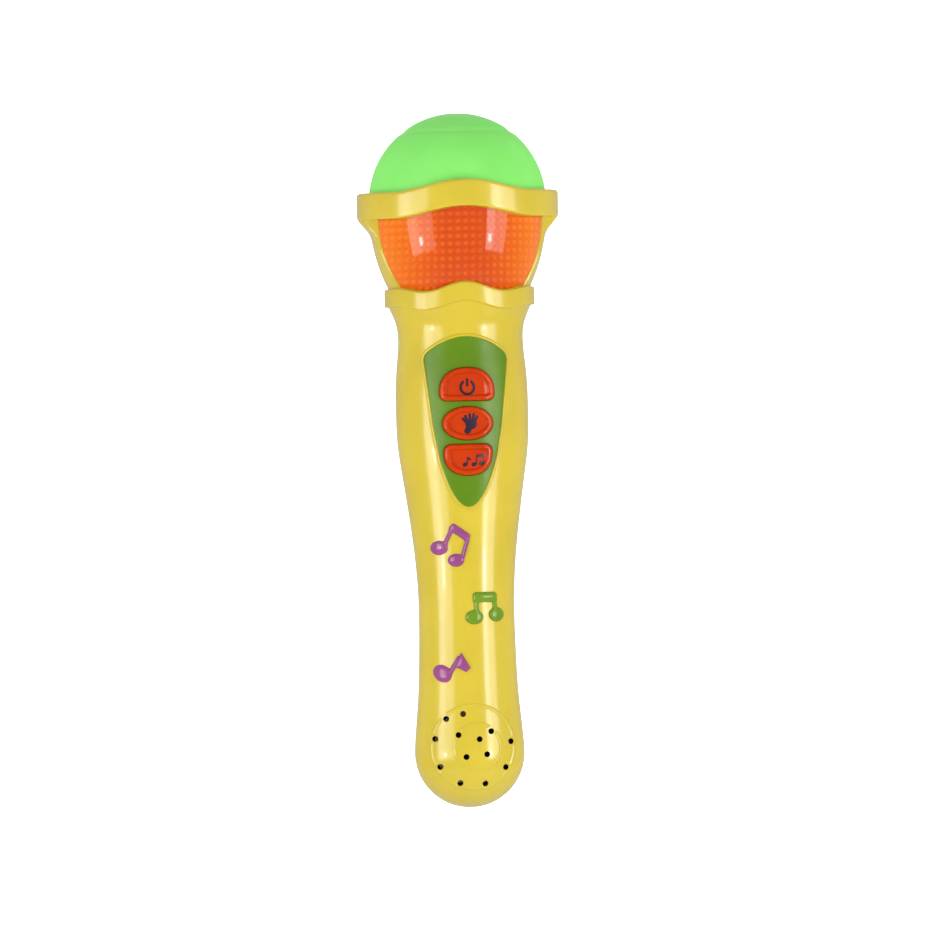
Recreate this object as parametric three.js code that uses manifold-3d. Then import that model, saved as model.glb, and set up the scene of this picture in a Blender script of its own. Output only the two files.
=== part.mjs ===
// A toy microphone: a two-part moulded casing with a soft glowing dome, a clear amber window,
// a button panel, a small loudspeaker in the end of the handle and a battery bay at the back.
// Millimetres. +Z runs up the axis from the handle's end to the dome, and the front faces -Y.
import * as THREE from "three";
import { mergeVertices } from "three/addons/utils/BufferGeometryUtils.js";
import Module from "manifold-3d";

const wasm = await Module();
wasm.setup();

// Driving dimensions
const HEIGHT = 210;
const WALL = 2;
const GAP = 0.3;
const SPLIT = 0.15; // half the gap between the casing's two halves
const SEGMENTS = 28;
const FAR = 60; // reach of a cutting block, past any surface

const HANDLE_END_RADIUS = 16.6;
const HANDLE_SIDE = [
  [20, 16.45], [33, 15.3], [48, 14.65], [64, 14.55], [81.5, 15.9], [101, 18.6], [110, 19.75],
  [120, 20.05], [132, 19.65], [141, 18.9], [147, 19.6], [151.4, 21.5],
];
const COLLAR = { radius: 22.7, bottom: 151.6, top: 157, round: 0.7 };
const BOWL = { radius: 27, centre: 182, reach: 41 };
const RING = { radius: 30.5, chamferBottom: 173.6, chamferTop: 178.4, top: 186.2, round: 1.2 };
const DOME = { radius: 26.8, centre: HEIGHT - 26.8, wall: 1.6 };
const DOME_LIP = { bottom: 183.3, top: 184.5, radius: 28.2 };
const SHELF = { height: 153.4, radius: 18.3 }; // the step inside the collar that carries the LEDs

const WINDOW = {
  bottom: 157.3, top: 178, narrow: 61, wide: 71, bulge: 3.8, recess: 0.6, thickness: 1.2,
};
const PANEL = {
  tip: 91, foot: [3.3, 93.1], waist: [11.2, 123.8], side: [12.5, 135.2], corner: [10.8, 138.3],
  crest: 142.3, thickness: 1.1, rim: 0.7,
};
const BUTTONS = [
  { name: "power", z: 127.9, width: 16.6, height: 10.0, outline: "flat_bottom" },
  { name: "applause", z: 116.1, width: 15.2, height: 10.1, outline: "ellipse" },
  { name: "music", z: 105.1, width: 14.6, height: 9.4, outline: "flat_top" },
];
const BUTTON = { proud: 1.35, play: 0.35, earWidth: 1.0, earDepth: 0.8, travel: 1.2 };
const BOARD = { back: -8.4, front: -10, halfWidth: 9.6, bottom: 92.5, top: 141 };
const KEYPAD = { thickness: 0.9, holeRadius: 3.6, halfWidth: 8.6, bottom: 99.2, top: 133.6 };
const PLUNGER = { radius: 2.6, pillRadius: 2, pillThickness: 0.6, spareGap: 0.4 };
const BOARD_SCREWS = [95.4, 138];

const GRILLE = { centre: 18.5, holeRadius: 0.9 };
const GRILLE_HOLES = [
  // [degrees clockwise from the top, distance from the centre]
  [83, 11.6], [123, 11.6], [163, 11.6], [201, 11.6], [240, 11.6], [283, 11.6], [317, 11.8], [343, 10.5],
  [36, 2.9], [49, 7.1], [120, 4.5], [219, 3.8], [309, 5.9],
];
const SPEAKER = { radius: 11.5, front: -7.5, depth: 3.4, magnetRadius: 6.5, magnetDepth: 4.2 };

const CELL = { radius: 5.25, length: 43.5, nubRadius: 1.9, nub: 1, x: 5.5, y: 7 };
const TRAY = {
  bottom: 89.5, top: 142, halfWidth: 12.2, wall: 1.1, back: 0.2,
  sideReach: 5.2, endReach: 10, endHalfWidth: 8,
};
const CONTACT = { thickness: 0.5, gap: 0.3, halfWidth: 8.5, front: 3, reach: 9.8 };
const SPRING = { radius: 2.7, wire: 0.4, turns: 3, height: 2.6 };
const DOOR = {
  bottom: 90, top: 142, halfWidth: 12.8, corner: 3, thickness: 1.8, tab: 82.4, tabHalfWidth: 5, screwZ: 86.4,
};
const LEDGE = { depth: 1.1, overlap: 1.5 };
const CASE_SCREWS = [[0, 44], [0, 71], [-11.5, 147.5], [11.5, 147.5]];
const BOSS = { radius: 3.2, hole: 1.6, headHole: 2.6, shank: 1.3, head: 2.3, headDepth: 1.6 };

const LED_PLATE = { radius: 19.7, thickness: 1.5 };
const LEDS = [{ name: "red", angle: 0 }, { name: "green", angle: 120 }, { name: "blue", angle: 240 }];
const LED = { radius: 2.5, base: 2.9, height: 8.2, circle: 8 };
const WIRE_RADIUS = 0.55;

// Raised notes: a head is [x, z, half its width, half its height], a bar is [x, z, x, z, width]
const NOTE_HEIGHT = 0.5;
const NOTES = [
  {
    heads: [[-9.0, 78.7, 2.4, 2.1], [-4.1, 74.9, 2.3, 1.9]],
    bars: [[-7.4, 79.6, -5.2, 84.6, 1.1], [-2.2, 75.6, -0.5, 81.4, 1.1], [-5.6, 85.2, -0.2, 81.4, 2.3]],
  },
  {
    heads: [[1.1, 57.6, 2.6, 2.1], [8.0, 58.3, 2.3, 2.1]],
    bars: [[2.0, 58.4, 1.6, 64.6, 1.2], [7.7, 59, 7.4, 64.6, 1.2], [0.9, 63.6, 8.0, 63.6, 3.0]],
  },
  {
    heads: [[-8.8, 40.8, 2.8, 2.3]],
    bars: [[-7.0, 40.4, -3.6, 45.8, 1.2], [-3.8, 45.6, -1.0, 41.4, 2.6]],
  },
];

const COLOURS = {
  yellow: { color: "#e6cf52", roughness: 0.35, metalness: 0 },
  green_dome: { color: "#84e86c", roughness: 0.55, metalness: 0 },
  amber: { color: "#ee6a10", roughness: 0.15, metalness: 0 },
  green_panel: { color: "#709118", roughness: 0.4, metalness: 0 },
  button: { color: "#cc3f06", roughness: 0.2, metalness: 0 },
  rubber: { color: "#c9c9c4", roughness: 0.8, metalness: 0 },
  carbon: { color: "#1c1c1e", roughness: 0.7, metalness: 0 },
  board: { color: "#1f6b3a", roughness: 0.5, metalness: 0 },
  steel: { color: "#b9bcc0", roughness: 0.35, metalness: 1 },
  ferrite: { color: "#3a3b3e", roughness: 0.5, metalness: 0.3 },
  paper: { color: "#2b2b2b", roughness: 0.9, metalness: 0 },
  cell: { color: "#2d3a8c", roughness: 0.3, metalness: 0.2 },
  white: { color: "#e9e6dd", roughness: 0.4, metalness: 0 },
  red: { color: "#c62020", roughness: 0.5, metalness: 0 },
  black: { color: "#151515", roughness: 0.5, metalness: 0 },
  led: { color: "#f2f2f2", roughness: 0.2, metalness: 0 },
};

const microphone = new THREE.Group();
const turn = THREE.MathUtils.degToRad;

// --- Solids ---

function solid(geometry) {
  const bare = geometry.clone();
  bare.deleteAttribute("normal");
  bare.deleteAttribute("uv");
  const merged = mergeVertices(bare, 1e-4);
  const mesh = new wasm.Mesh({
    numProp: 3,
    vertProperties: new Float32Array(merged.attributes.position.array),
    triVerts: new Uint32Array(merged.index.array),
  });
  return new wasm.Manifold(mesh);
}

function geometryOf(body) {
  const mesh = body.getMesh();
  const geometry = new THREE.BufferGeometry();
  geometry.setAttribute("position", new THREE.BufferAttribute(mesh.vertProperties, 3));
  geometry.setIndex(new THREE.BufferAttribute(mesh.triVerts, 1));
  geometry.computeVertexNormals();
  return geometry;
}

function joined(solids) {
  return solids.reduce((whole, piece) => whole.add(piece));
}

function add(name, shape, colour) {
  const geometry = shape.isBufferGeometry ? shape : geometryOf(shape);
  const mesh = new THREE.Mesh(geometry, new THREE.MeshStandardMaterial(COLOURS[colour]));
  mesh.name = name;
  microphone.add(mesh);
  return mesh;
}

// A solid of revolution about Z. The profile holds [radius, z] pairs, in either order, and starts
// and ends on the axis or closes on itself.
function turned(profile, segments = SEGMENTS) {
  const points = profile.map(([radius, z]) => new THREE.Vector2(radius, z));
  if (THREE.ShapeUtils.area(points) < 0) {
    points.reverse();
  }
  return new THREE.LatheGeometry(points, segments).rotateX(Math.PI / 2);
}

function block(xLow, xHigh, yLow, yHigh, zLow, zHigh) {
  const box = new THREE.BoxGeometry(xHigh - xLow, yHigh - yLow, zHigh - zLow);
  return solid(box.translate((xLow + xHigh) / 2, (yLow + yHigh) / 2, (zLow + zHigh) / 2));
}

// A round bar along Y
function barY(radius, yLow, yHigh, x, z, segments = 8) {
  const bar = new THREE.CylinderGeometry(radius, radius, yHigh - yLow, segments);
  return solid(bar.translate(x, (yLow + yHigh) / 2, z));
}

// An outline drawn in X and Z, carried along Y
function prismY(shape, yLow, yHigh, curveSegments = 4) {
  const options = { depth: yHigh - yLow, bevelEnabled: false, curveSegments };
  const bar = new THREE.ExtrudeGeometry(shape, options).rotateX(Math.PI / 2);
  return solid(bar.translate(0, yHigh, 0));
}

function roundedRectangle(xLow, xHigh, zLow, zHigh, corner) {
  const shape = new THREE.Shape();
  shape.moveTo(xLow + corner, zLow);
  shape.lineTo(xHigh - corner, zLow);
  shape.absarc(xHigh - corner, zLow + corner, corner, -Math.PI / 2, 0);
  shape.lineTo(xHigh, zHigh - corner);
  shape.absarc(xHigh - corner, zHigh - corner, corner, 0, Math.PI / 2);
  shape.lineTo(xLow + corner, zHigh);
  shape.absarc(xLow + corner, zHigh - corner, corner, Math.PI / 2, Math.PI);
  shape.lineTo(xLow, zLow + corner);
  shape.absarc(xLow + corner, zLow + corner, corner, Math.PI, Math.PI * 1.5);
  return shape;
}

// --- The casing's surface ---

const side = new THREE.SplineCurve(HANDLE_SIDE.map(([z, radius]) => new THREE.Vector2(z, radius)));
const sidePoints = side.getPoints(HANDLE_SIDE.length * 10);

// The handle's radius above its round end
function handleRadius(z) {
  const next = Math.max(1, sidePoints.findIndex((point) => point.x >= z));
  const [before, after] = [sidePoints[next - 1], sidePoints[next]];
  return THREE.MathUtils.mapLinear(z, before.x, after.x, before.y, after.y);
}

function bowlRadius(z) {
  return BOWL.radius * Math.sqrt(1 - ((BOWL.centre - z) / BOWL.reach) ** 2);
}

// Degrees from the nearer of the front and the back
function fromMiddle(x, y) {
  const angle = Math.abs(THREE.MathUtils.radToDeg(Math.atan2(x, -y)));
  return angle > 90 ? 180 - angle : angle;
}

// How far the ring's edges rise towards the front and the back
function ringWave(angle) {
  const reach = angle / 46;
  return reach < 1 ? 3.4 * Math.cos((reach * Math.PI) / 2) ** 2 : 0;
}

// How far the collar's top edge rises and falls around the casing
function collarWave(angle) {
  return 1.75 * Math.cos((Math.PI * angle) / 37) * Math.exp(-((angle / 48) ** 2));
}

function waved(geometry, share) {
  const position = geometry.attributes.position;
  for (let i = 0; i < position.count; i += 1) {
    const [x, y, z] = [position.getX(i), position.getY(i), position.getZ(i)];
    position.setZ(i, z + share(fromMiddle(x, y), z, Math.hypot(x, y)));
  }
  return geometry;
}

// The outer surface's edges wave; the handle and the bore stay straight
function outerShare(angle, z) {
  if (z >= RING.chamferBottom - 0.1) {
    return ringWave(angle) * THREE.MathUtils.smoothstep(z, RING.chamferBottom, RING.chamferTop);
  }
  const low = THREE.MathUtils.smoothstep(z, COLLAR.bottom - 1, COLLAR.bottom) * 0.97;
  const high = THREE.MathUtils.smoothstep(z, COLLAR.bottom + 1, COLLAR.top) * 0.03;
  const fade = 1 - THREE.MathUtils.smoothstep(z, COLLAR.top + 2.4, COLLAR.top + 8);
  return collarWave(angle) * (low + high) * fade;
}

function handleProfile(offset, zLow, zHigh) {
  const stations = HANDLE_SIDE.map(([z]) => z).filter((z) => z > zLow + 1 && z < zHigh - 1);
  return [zLow, ...stations, zHigh].map((z) => [handleRadius(z) + offset, z]);
}

function endArc(offset, steps) {
  const arc = [];
  for (let step = 0; step <= steps; step += 1) {
    const angle = (step / steps) * 0.5 * Math.PI;
    const radius = HANDLE_END_RADIUS + offset;
    arc.push([radius * Math.sin(angle), HANDLE_END_RADIUS - radius * Math.cos(angle)]);
  }
  return arc;
}

function casingOutside() {
  const handle = HANDLE_SIDE.map(([z, radius]) => [radius, z]);
  const bowl = [159.6, 166].map((z) => [bowlRadius(z), z]);
  const profile = [
    ...endArc(0, 6), ...handle,
    [COLLAR.radius - COLLAR.round / 2, COLLAR.bottom], [COLLAR.radius, COLLAR.bottom + COLLAR.round],
    [COLLAR.radius, COLLAR.top - COLLAR.round], [COLLAR.radius - COLLAR.round, COLLAR.top],
    ...bowl,
    [bowlRadius(RING.chamferBottom), RING.chamferBottom], [RING.radius, RING.chamferTop],
    [RING.radius, RING.top - RING.round], [RING.radius - RING.round, RING.top], [0, RING.top],
  ];
  profile[0][0] = 0;
  return solid(waved(turned(profile), outerShare));
}

function casingInside() {
  const handle = handleProfile(-WALL, 20, 151.4);
  const bore = DOME.radius + GAP;
  const profile = [
    ...endArc(-WALL, 5), ...handle, [SHELF.radius, SHELF.height],
    [COLLAR.radius - 2.4, SHELF.height], [COLLAR.radius - 2.4, 159.6],
    [bowlRadius(167) - WALL, 167], [25, 178],
    [25, DOME_LIP.bottom - GAP], [DOME_LIP.radius + GAP, DOME_LIP.bottom - GAP],
    [DOME_LIP.radius + GAP, DOME_LIP.top + GAP], [bore, DOME_LIP.top + GAP], [bore, HEIGHT], [0, HEIGHT],
  ];
  profile[0][0] = 0;
  return solid(turned(profile));
}

// The layer of the handle between two offsets from its outer surface
function skin(outer, inner, zLow, zHigh) {
  const outside = [[0, zLow], ...handleProfile(outer, zLow, zHigh), [0, zHigh]];
  const inside = [[0, zLow - 1], ...handleProfile(inner, zLow - 1, zHigh + 1), [0, zHigh + 1]];
  return solid(turned(outside)).subtract(solid(turned(inside)));
}

// A block bent round the axis: across in degrees, up along Z, deep along the radius
function bent(halfAngle, low, high, inner, outer, across = 12, up = 2) {
  const geometry = new THREE.BoxGeometry(2, 1, 1, across, up, 1).translate(0, 0.5, 0.5);
  const position = geometry.attributes.position;
  for (let i = 0; i < position.count; i += 1) {
    const rise = position.getY(i);
    const degrees = position.getX(i) * halfAngle(rise);
    const z = THREE.MathUtils.lerp(low(Math.abs(degrees)), high(Math.abs(degrees)), rise);
    const radius = position.getZ(i) < 0.5 ? inner(z) : outer(z);
    position.setXYZ(i, radius * Math.sin(turn(degrees)), -radius * Math.cos(turn(degrees)), z);
  }
  return solid(geometry);
}

// --- Outlines on the front ---

function panelOutline(grow) {
  const [tip, tipHeight] = [PANEL.foot[0] + grow * 0.7, PANEL.foot[1] - grow * 0.6];
  const [waist, waistHeight] = [PANEL.waist[0] + grow, PANEL.waist[1]];
  const [side, sideHeight] = [PANEL.side[0] + grow, PANEL.side[1]];
  const [corner, cornerHeight] = [PANEL.corner[0] + grow * 0.6, PANEL.corner[1] + grow * 0.8];
  const crest = (PANEL.crest + grow) * 2 - cornerHeight;
  const bend = [side + 0.1, 136.9 + grow * 0.6];
  const shape = new THREE.Shape();
  shape.moveTo(-tip, tipHeight);
  shape.quadraticCurveTo(0, (PANEL.tip - grow) * 2 - tipHeight, tip, tipHeight);
  shape.quadraticCurveTo(9 + grow, 100.5, waist, waistHeight);
  shape.lineTo(side, sideHeight);
  shape.quadraticCurveTo(...bend, corner, cornerHeight);
  shape.quadraticCurveTo(0, crest, -corner, cornerHeight);
  shape.quadraticCurveTo(-bend[0], bend[1], -side, sideHeight);
  shape.lineTo(-waist, waistHeight);
  shape.quadraticCurveTo(-9 - grow, 100.5, -tip, tipHeight);
  return shape;
}

// A D lying on its flat side, the same upside down, or an ellipse
function buttonOutline(button, grow) {
  const halfWidth = button.width / 2 + grow;
  const halfHeight = button.height / 2 + grow;
  const shape = new THREE.Shape();
  if (button.outline === "ellipse") {
    shape.absellipse(0, button.z, halfWidth, halfHeight, 0, Math.PI * 2);
    return shape;
  }
  const up = button.outline === "flat_bottom" ? 1 : -1;
  const corner = 2.6 + grow;
  const flat = button.z - up * halfHeight;
  const round = button.z + up * halfHeight;
  const cheek = button.z + up * halfHeight * 0.5;
  shape.moveTo(-halfWidth + corner, flat);
  shape.lineTo(halfWidth - corner, flat);
  shape.quadraticCurveTo(halfWidth, flat, halfWidth, flat + up * corner);
  shape.bezierCurveTo(halfWidth, cheek, halfWidth * 0.6, round, 0, round);
  shape.bezierCurveTo(-halfWidth * 0.6, round, -halfWidth, cheek, -halfWidth, flat + up * corner);
  shape.quadraticCurveTo(-halfWidth, flat, -halfWidth + corner, flat);
  return shape;
}

// --- Raised notes on the handle ---

function noteHead([x, z, halfWidth, halfHeight]) {
  const shape = new THREE.Shape();
  shape.absellipse(x, z, halfWidth, halfHeight, 0, Math.PI * 2);
  return prismY(shape, -FAR, 0, 4);
}

function noteBar([x0, z0, x1, z1, width]) {
  const length = Math.hypot(x1 - x0, z1 - z0);
  const bar = new THREE.BoxGeometry(length, FAR, width).rotateY(-Math.atan2(z1 - z0, x1 - x0));
  return solid(bar.translate((x0 + x1) / 2, -FAR / 2, (z0 + z1) / 2));
}

function raisedNotes() {
  const plates = NOTES.flatMap(({ heads, bars }) => [...heads.map(noteHead), ...bars.map(noteBar)]);
  return joined(plates).intersect(skin(NOTE_HEIGHT, -0.5, 34, 90));
}

// --- Casing ---

function doorPrism(grow, yLow, yHigh) {
  const width = DOOR.halfWidth + grow;
  const tabWidth = DOOR.tabHalfWidth + grow;
  const body = roundedRectangle(-width, width, DOOR.bottom - grow, DOOR.top + grow, DOOR.corner);
  const tab = roundedRectangle(-tabWidth, tabWidth, DOOR.tab - grow, DOOR.bottom + 4, DOOR.corner);
  return prismY(body, yLow, yHigh, 3).add(prismY(tab, yLow, yHigh, 3));
}

// Half the window's width in degrees, from its bottom at 0 to its top at 1
function windowReach(rise) {
  return THREE.MathUtils.lerp(WINDOW.narrow, WINDOW.wide, rise) + WINDOW.bulge * 4 * rise * (1 - rise);
}

function windowCut() {
  return bent(
    windowReach,
    (angle) => WINDOW.bottom + collarWave(angle), (angle) => WINDOW.top + ringWave(angle),
    () => 15, () => 40, 12, 4,
  );
}

function windowLens() {
  const plate = (grow, outset, inset) => bent(
    (rise) => windowReach(rise) + grow * 2.3,
    (angle) => WINDOW.bottom + collarWave(angle) - grow, (angle) => WINDOW.top + ringWave(angle) + grow,
    (z) => bowlRadius(z) - inset, (z) => bowlRadius(z) - outset, 12, 4,
  );
  const front = plate(-1.5 * GAP, WINDOW.recess, WALL + 1);
  const lip = plate(0.7, WALL + 0.7, WALL + 0.7 + WINDOW.thickness);
  return front.add(lip);
}

// Where bosses may stand: inside the casing's wall, clear of the parting line
function bossRoom(outside, yLow, yHigh) {
  return outside.intersect(block(-FAR, FAR, yLow, yHigh, 0, 152)).subtract(skin(1, -1, 24, 151));
}

function frontShell(outside, inside) {
  const bosses = CASE_SCREWS.map(([x, z]) => barY(BOSS.radius, -FAR, -SPLIT - GAP, x, z));
  const posts = BOARD_SCREWS.map((z) => barY(2.2, -FAR, BOARD.front - GAP, 0, z));
  const inner = joined([...bosses, ...posts]).intersect(bossRoom(outside, -FAR, -SPLIT - GAP));
  const rim = prismY(panelOutline(PANEL.rim + 0.1), -FAR, 0).intersect(skin(0.45, -0.5, 86, 148));
  const recess = prismY(panelOutline(0.1), -FAR, 0).intersect(skin(3, -PANEL.thickness - GAP, 86, 148));
  const wall = outside.subtract(inside).intersect(block(-FAR, FAR, -FAR, -SPLIT, -1, HEIGHT));
  let shell = wall.add(inner).add(rim).add(raisedNotes()).subtract(windowCut()).subtract(recess);
  for (const button of BUTTONS) {
    shell = shell.subtract(prismY(buttonOutline(button, BUTTON.play), -FAR, -12));
  }
  for (const [x, z] of CASE_SCREWS) {
    shell = shell.subtract(barY(BOSS.hole, -8, 0, x, z, 6));
  }
  for (const z of BOARD_SCREWS) {
    shell = shell.subtract(barY(1.1, BOARD.front - 4.5, BOARD.front + 1, 0, z, 6));
  }
  for (const [degrees, distance] of GRILLE_HOLES) {
    const x = distance * Math.sin(turn(degrees));
    const z = GRILLE.centre + distance * Math.cos(turn(degrees));
    shell = shell.subtract(barY(GRILLE.holeRadius, -FAR, -6, x, z, 6));
  }
  return shell;
}

function rearShell(outside, inside) {
  const bosses = CASE_SCREWS.map(([x, z]) => barY(BOSS.radius, SPLIT + GAP, FAR, x, z));
  const doorBoss = barY(2.7, 4, FAR, 0, DOOR.screwZ);
  const inner = joined([...bosses, doorBoss]).intersect(bossRoom(outside, SPLIT + GAP, FAR));
  const wall = outside.subtract(inside).intersect(block(-FAR, FAR, SPLIT, FAR, -1, HEIGHT));
  const frame = doorPrism(LEDGE.overlap, 5, FAR).intersect(skin(-1, -WALL - LEDGE.depth, 80, 146));
  const recess = doorPrism(BUTTON.play, 5, FAR).intersect(skin(3, -DOOR.thickness - GAP, 80, 150));
  const opening = roundedRectangle(
    -DOOR.halfWidth + LEDGE.overlap, DOOR.halfWidth - LEDGE.overlap,
    DOOR.bottom + LEDGE.overlap, DOOR.top - LEDGE.overlap, 1,
  );
  let shell = wall.add(inner).add(frame).subtract(recess).subtract(prismY(opening, 5, FAR, 2));
  for (const [x, z] of CASE_SCREWS) {
    shell = shell.subtract(barY(BOSS.hole, 0, FAR, x, z, 6)).subtract(barY(BOSS.headHole, 7, FAR, x, z));
  }
  return shell.subtract(barY(1.3, 6, FAR, 0, DOOR.screwZ, 6));
}

const outside = casingOutside();
const inside = casingInside();
add("front_shell", frontShell(outside, inside), "yellow");
add("rear_shell", rearShell(outside, inside), "yellow");

// --- Dome, window and panel ---

function domeShell() {
  const arc = (radius, from, steps) => Array.from({ length: steps + 1 }, (_, step) => {
    const angle = turn(from + ((90 - from) * step) / steps);
    return [radius * Math.cos(angle), DOME.centre + radius * Math.sin(angle)];
  });
  const inner = DOME.radius - DOME.wall;
  const outer = arc(DOME.radius, 6, 6);
  outer[outer.length - 1] = [0, HEIGHT];
  const cavity = arc(inner, 4, 4).reverse();
  cavity[0] = [0, DOME.centre + inner];
  return turned([
    ...cavity, [inner, DOME_LIP.bottom], [DOME_LIP.radius, DOME_LIP.bottom], [DOME_LIP.radius, DOME_LIP.top],
    [DOME.radius, DOME_LIP.top], ...outer,
  ]);
}

add("dome", domeShell(), "green_dome");
add("window_lens", windowLens(), "amber");

function controlPanel() {
  let plate = prismY(panelOutline(-0.2), -FAR, 0).intersect(skin(0.05, -PANEL.thickness, 86, 148));
  for (const button of BUTTONS) {
    plate = plate.subtract(prismY(buttonOutline(button, BUTTON.play), -FAR, -12));
  }
  return plate;
}

add("control_panel", controlPanel(), "green_panel");

// --- Buttons, keypad and board ---

function pushButton(button) {
  const under = -WALL - GAP;
  const floor = under - BUTTON.earDepth;
  const cap = prismY(buttonOutline(button, 0), -FAR, -11).intersect(skin(BUTTON.proud, floor, 90, 145));
  const reach = button.width / 2 + BUTTON.earWidth;
  const earHeight = button.height - 4.4;
  const low = button.z - earHeight / 2;
  const ears = block(-reach, reach, -FAR, -11, low, low + earHeight);
  return cap.add(ears.intersect(skin(under, floor, 90, 145)));
}

const pillFront = BOARD.front - BUTTON.travel - PLUNGER.spareGap - PLUNGER.pillThickness;
for (const button of BUTTONS) {
  const { name, z } = button;
  const front = -(handleRadius(z) - WALL - GAP - BUTTON.earDepth) + GAP + 0.25;
  add(`${name}_button`, pushButton(button), "button");
  add(`${name}_plunger`, barY(PLUNGER.radius, front, pillFront - GAP, 0, z, 10), "rubber");
  add(`${name}_pill`, barY(PLUNGER.pillRadius, pillFront, pillFront + PLUNGER.pillThickness, 0, z), "carbon");
}

function boardOutline(inset) {
  return roundedRectangle(
    -BOARD.halfWidth + inset, BOARD.halfWidth - inset, BOARD.bottom + inset, BOARD.top - inset, 2,
  );
}

function mainBoard() {
  const holes = BOARD_SCREWS.map((z) => barY(1.4, BOARD.front - 1, BOARD.back + 1, 0, z, 8));
  return prismY(boardOutline(0), BOARD.front, BOARD.back, 2).subtract(joined(holes));
}

function keypadSheet() {
  const outline = roundedRectangle(-KEYPAD.halfWidth, KEYPAD.halfWidth, KEYPAD.bottom, KEYPAD.top, 2);
  const sheet = prismY(outline, BOARD.front - GAP - KEYPAD.thickness, BOARD.front - GAP, 2);
  const holes = BUTTONS.map((button) => barY(KEYPAD.holeRadius, -FAR, 0, 0, button.z, 10));
  return sheet.subtract(joined(holes));
}

add("main_board", mainBoard(), "board");
add("keypad_sheet", keypadSheet(), "rubber");
add("sound_chip", turned([[0, 0], [4.2, 0], [3.9, 0.7], [2.4, 1.3], [0, 1.5]], 12)
  .rotateX(-Math.PI / 2).translate(0, BOARD.back + GAP, 121), "black");
add("crystal", block(-7.5, -4.5, BOARD.back + GAP, BOARD.back + GAP + 2.6, 104, 111), "steel");
add("capacitor", barY(2.5, BOARD.back + GAP, BOARD.back + GAP + 5.4, 5, 106, 12), "black");

function screw(headRadius, headDepth, shankRadius, shankLength) {
  const taper = shankRadius * 0.6;
  const profile = [
    [0, 0], [shankRadius, taper * 2], [shankRadius, shankLength], [headRadius, shankLength],
    [headRadius * 0.8, shankLength + headDepth], [0, shankLength + headDepth],
  ];
  const body = solid(turned(profile, 8));
  const top = shankLength + headDepth;
  const slots = [0, 90].map((degrees) => {
    const slot = new THREE.BoxGeometry(headRadius * 1.1, 0.5, headDepth).rotateZ(turn(degrees));
    return solid(slot.translate(0, 0, top));
  });
  return geometryOf(body.subtract(joined(slots)));
}

// A screw whose axis lies along Y with its head towards +Y
function placeScrew(name, shape, x, z, tipY) {
  add(name, shape.rotateX(-Math.PI / 2).translate(x, tipY, z), "steel");
}

BOARD_SCREWS.forEach((z, i) => {
  placeScrew(`board_screw_${i + 1}`, screw(2, 1.2, 0.8, 5.4), 0, z, BOARD.back + GAP - 5.4);
});
CASE_SCREWS.forEach(([x, z], i) => {
  placeScrew(`case_screw_${i + 1}`, screw(BOSS.head, BOSS.headDepth, BOSS.shank, 14), x, z, 7 + GAP - 14);
});

// --- Loudspeaker in the handle's end ---

function facingFront(profile, segments = 16) {
  return turned(profile, segments).rotateX(Math.PI / 2).translate(0, SPEAKER.front, GRILLE.centre);
}

const cone = SPEAKER.radius - 1.9;
const back = -SPEAKER.depth;
add("speaker_frame", facingFront([
  [SPEAKER.radius - 1.6, 0], [SPEAKER.radius, 0], [SPEAKER.radius, -1], [SPEAKER.radius - 1, -1.4],
  [SPEAKER.magnetRadius - 0.5, back], [3.4, back], [3.4, back + 0.8], [SPEAKER.magnetRadius - 1, back + 0.8],
  [SPEAKER.radius - 1.6, -0.9], [SPEAKER.radius - 1.6, 0],
]), "steel");
add("speaker_cone", facingFront([
  [0, 0], [2.6, -0.9], [7.4, -0.5], [8.4, 0.1], [cone, 0], [cone, -0.5], [7.4, -1.1], [3, -1.5],
  [3, -2.2], [0, -2.2],
]), "paper");
add("speaker_magnet", facingFront([
  [0, back - GAP], [SPEAKER.magnetRadius, back - GAP], [SPEAKER.magnetRadius, back - SPEAKER.magnetDepth],
  [0, back - SPEAKER.magnetDepth],
]), "ferrite");

// --- Battery bay ---

function cell(pointsUp) {
  const { radius, nubRadius, length, nub } = CELL;
  const shape = turned([
    [0, 0], [radius - 0.4, 0], [radius, 0.4], [radius, length - 0.4], [radius - 0.4, length],
    [nubRadius, length], [nubRadius, length + nub], [0, length + nub],
  ], 14);
  return pointsUp ? shape : shape.rotateX(Math.PI).translate(0, 0, length + nub);
}

const bayBottom = TRAY.bottom + TRAY.wall + GAP + CONTACT.thickness + CONTACT.gap;
const bayTop = TRAY.top - TRAY.wall - GAP - CONTACT.thickness - CONTACT.gap;
const cellLength = CELL.length + CELL.nub;
add("battery_1", cell(true).translate(-CELL.x, CELL.y, bayTop - cellLength), "cell");
add("battery_2", cell(false).translate(CELL.x, CELL.y, bayBottom), "cell");

function batteryTray() {
  const { bottom, top, halfWidth, wall, back, sideReach, endReach, endHalfWidth } = TRAY;
  return joined([
    block(-halfWidth, halfWidth, back, back + wall, bottom, top),
    block(-halfWidth, -halfWidth + wall, back, sideReach, bottom, top),
    block(halfWidth - wall, halfWidth, back, sideReach, bottom, top),
    block(-endHalfWidth, endHalfWidth, back, endReach, bottom, bottom + wall),
    block(-endHalfWidth, endHalfWidth, back, endReach, top - wall, top),
  ]);
}

add("battery_tray", batteryTray(), "white");
const lowContact = TRAY.bottom + TRAY.wall + GAP;
const highContact = TRAY.top - TRAY.wall - GAP - CONTACT.thickness;

function contactPlate(xLow, xHigh, z) {
  return block(xLow, xHigh, CONTACT.front, CONTACT.reach, z, z + CONTACT.thickness);
}

add("contact_bridge", contactPlate(-CONTACT.halfWidth, CONTACT.halfWidth, lowContact), "steel");
add("contact_positive", contactPlate(-CONTACT.halfWidth, -1.5, highContact), "steel");
add("contact_negative", contactPlate(1.5, CONTACT.halfWidth, highContact), "steel");

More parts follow.
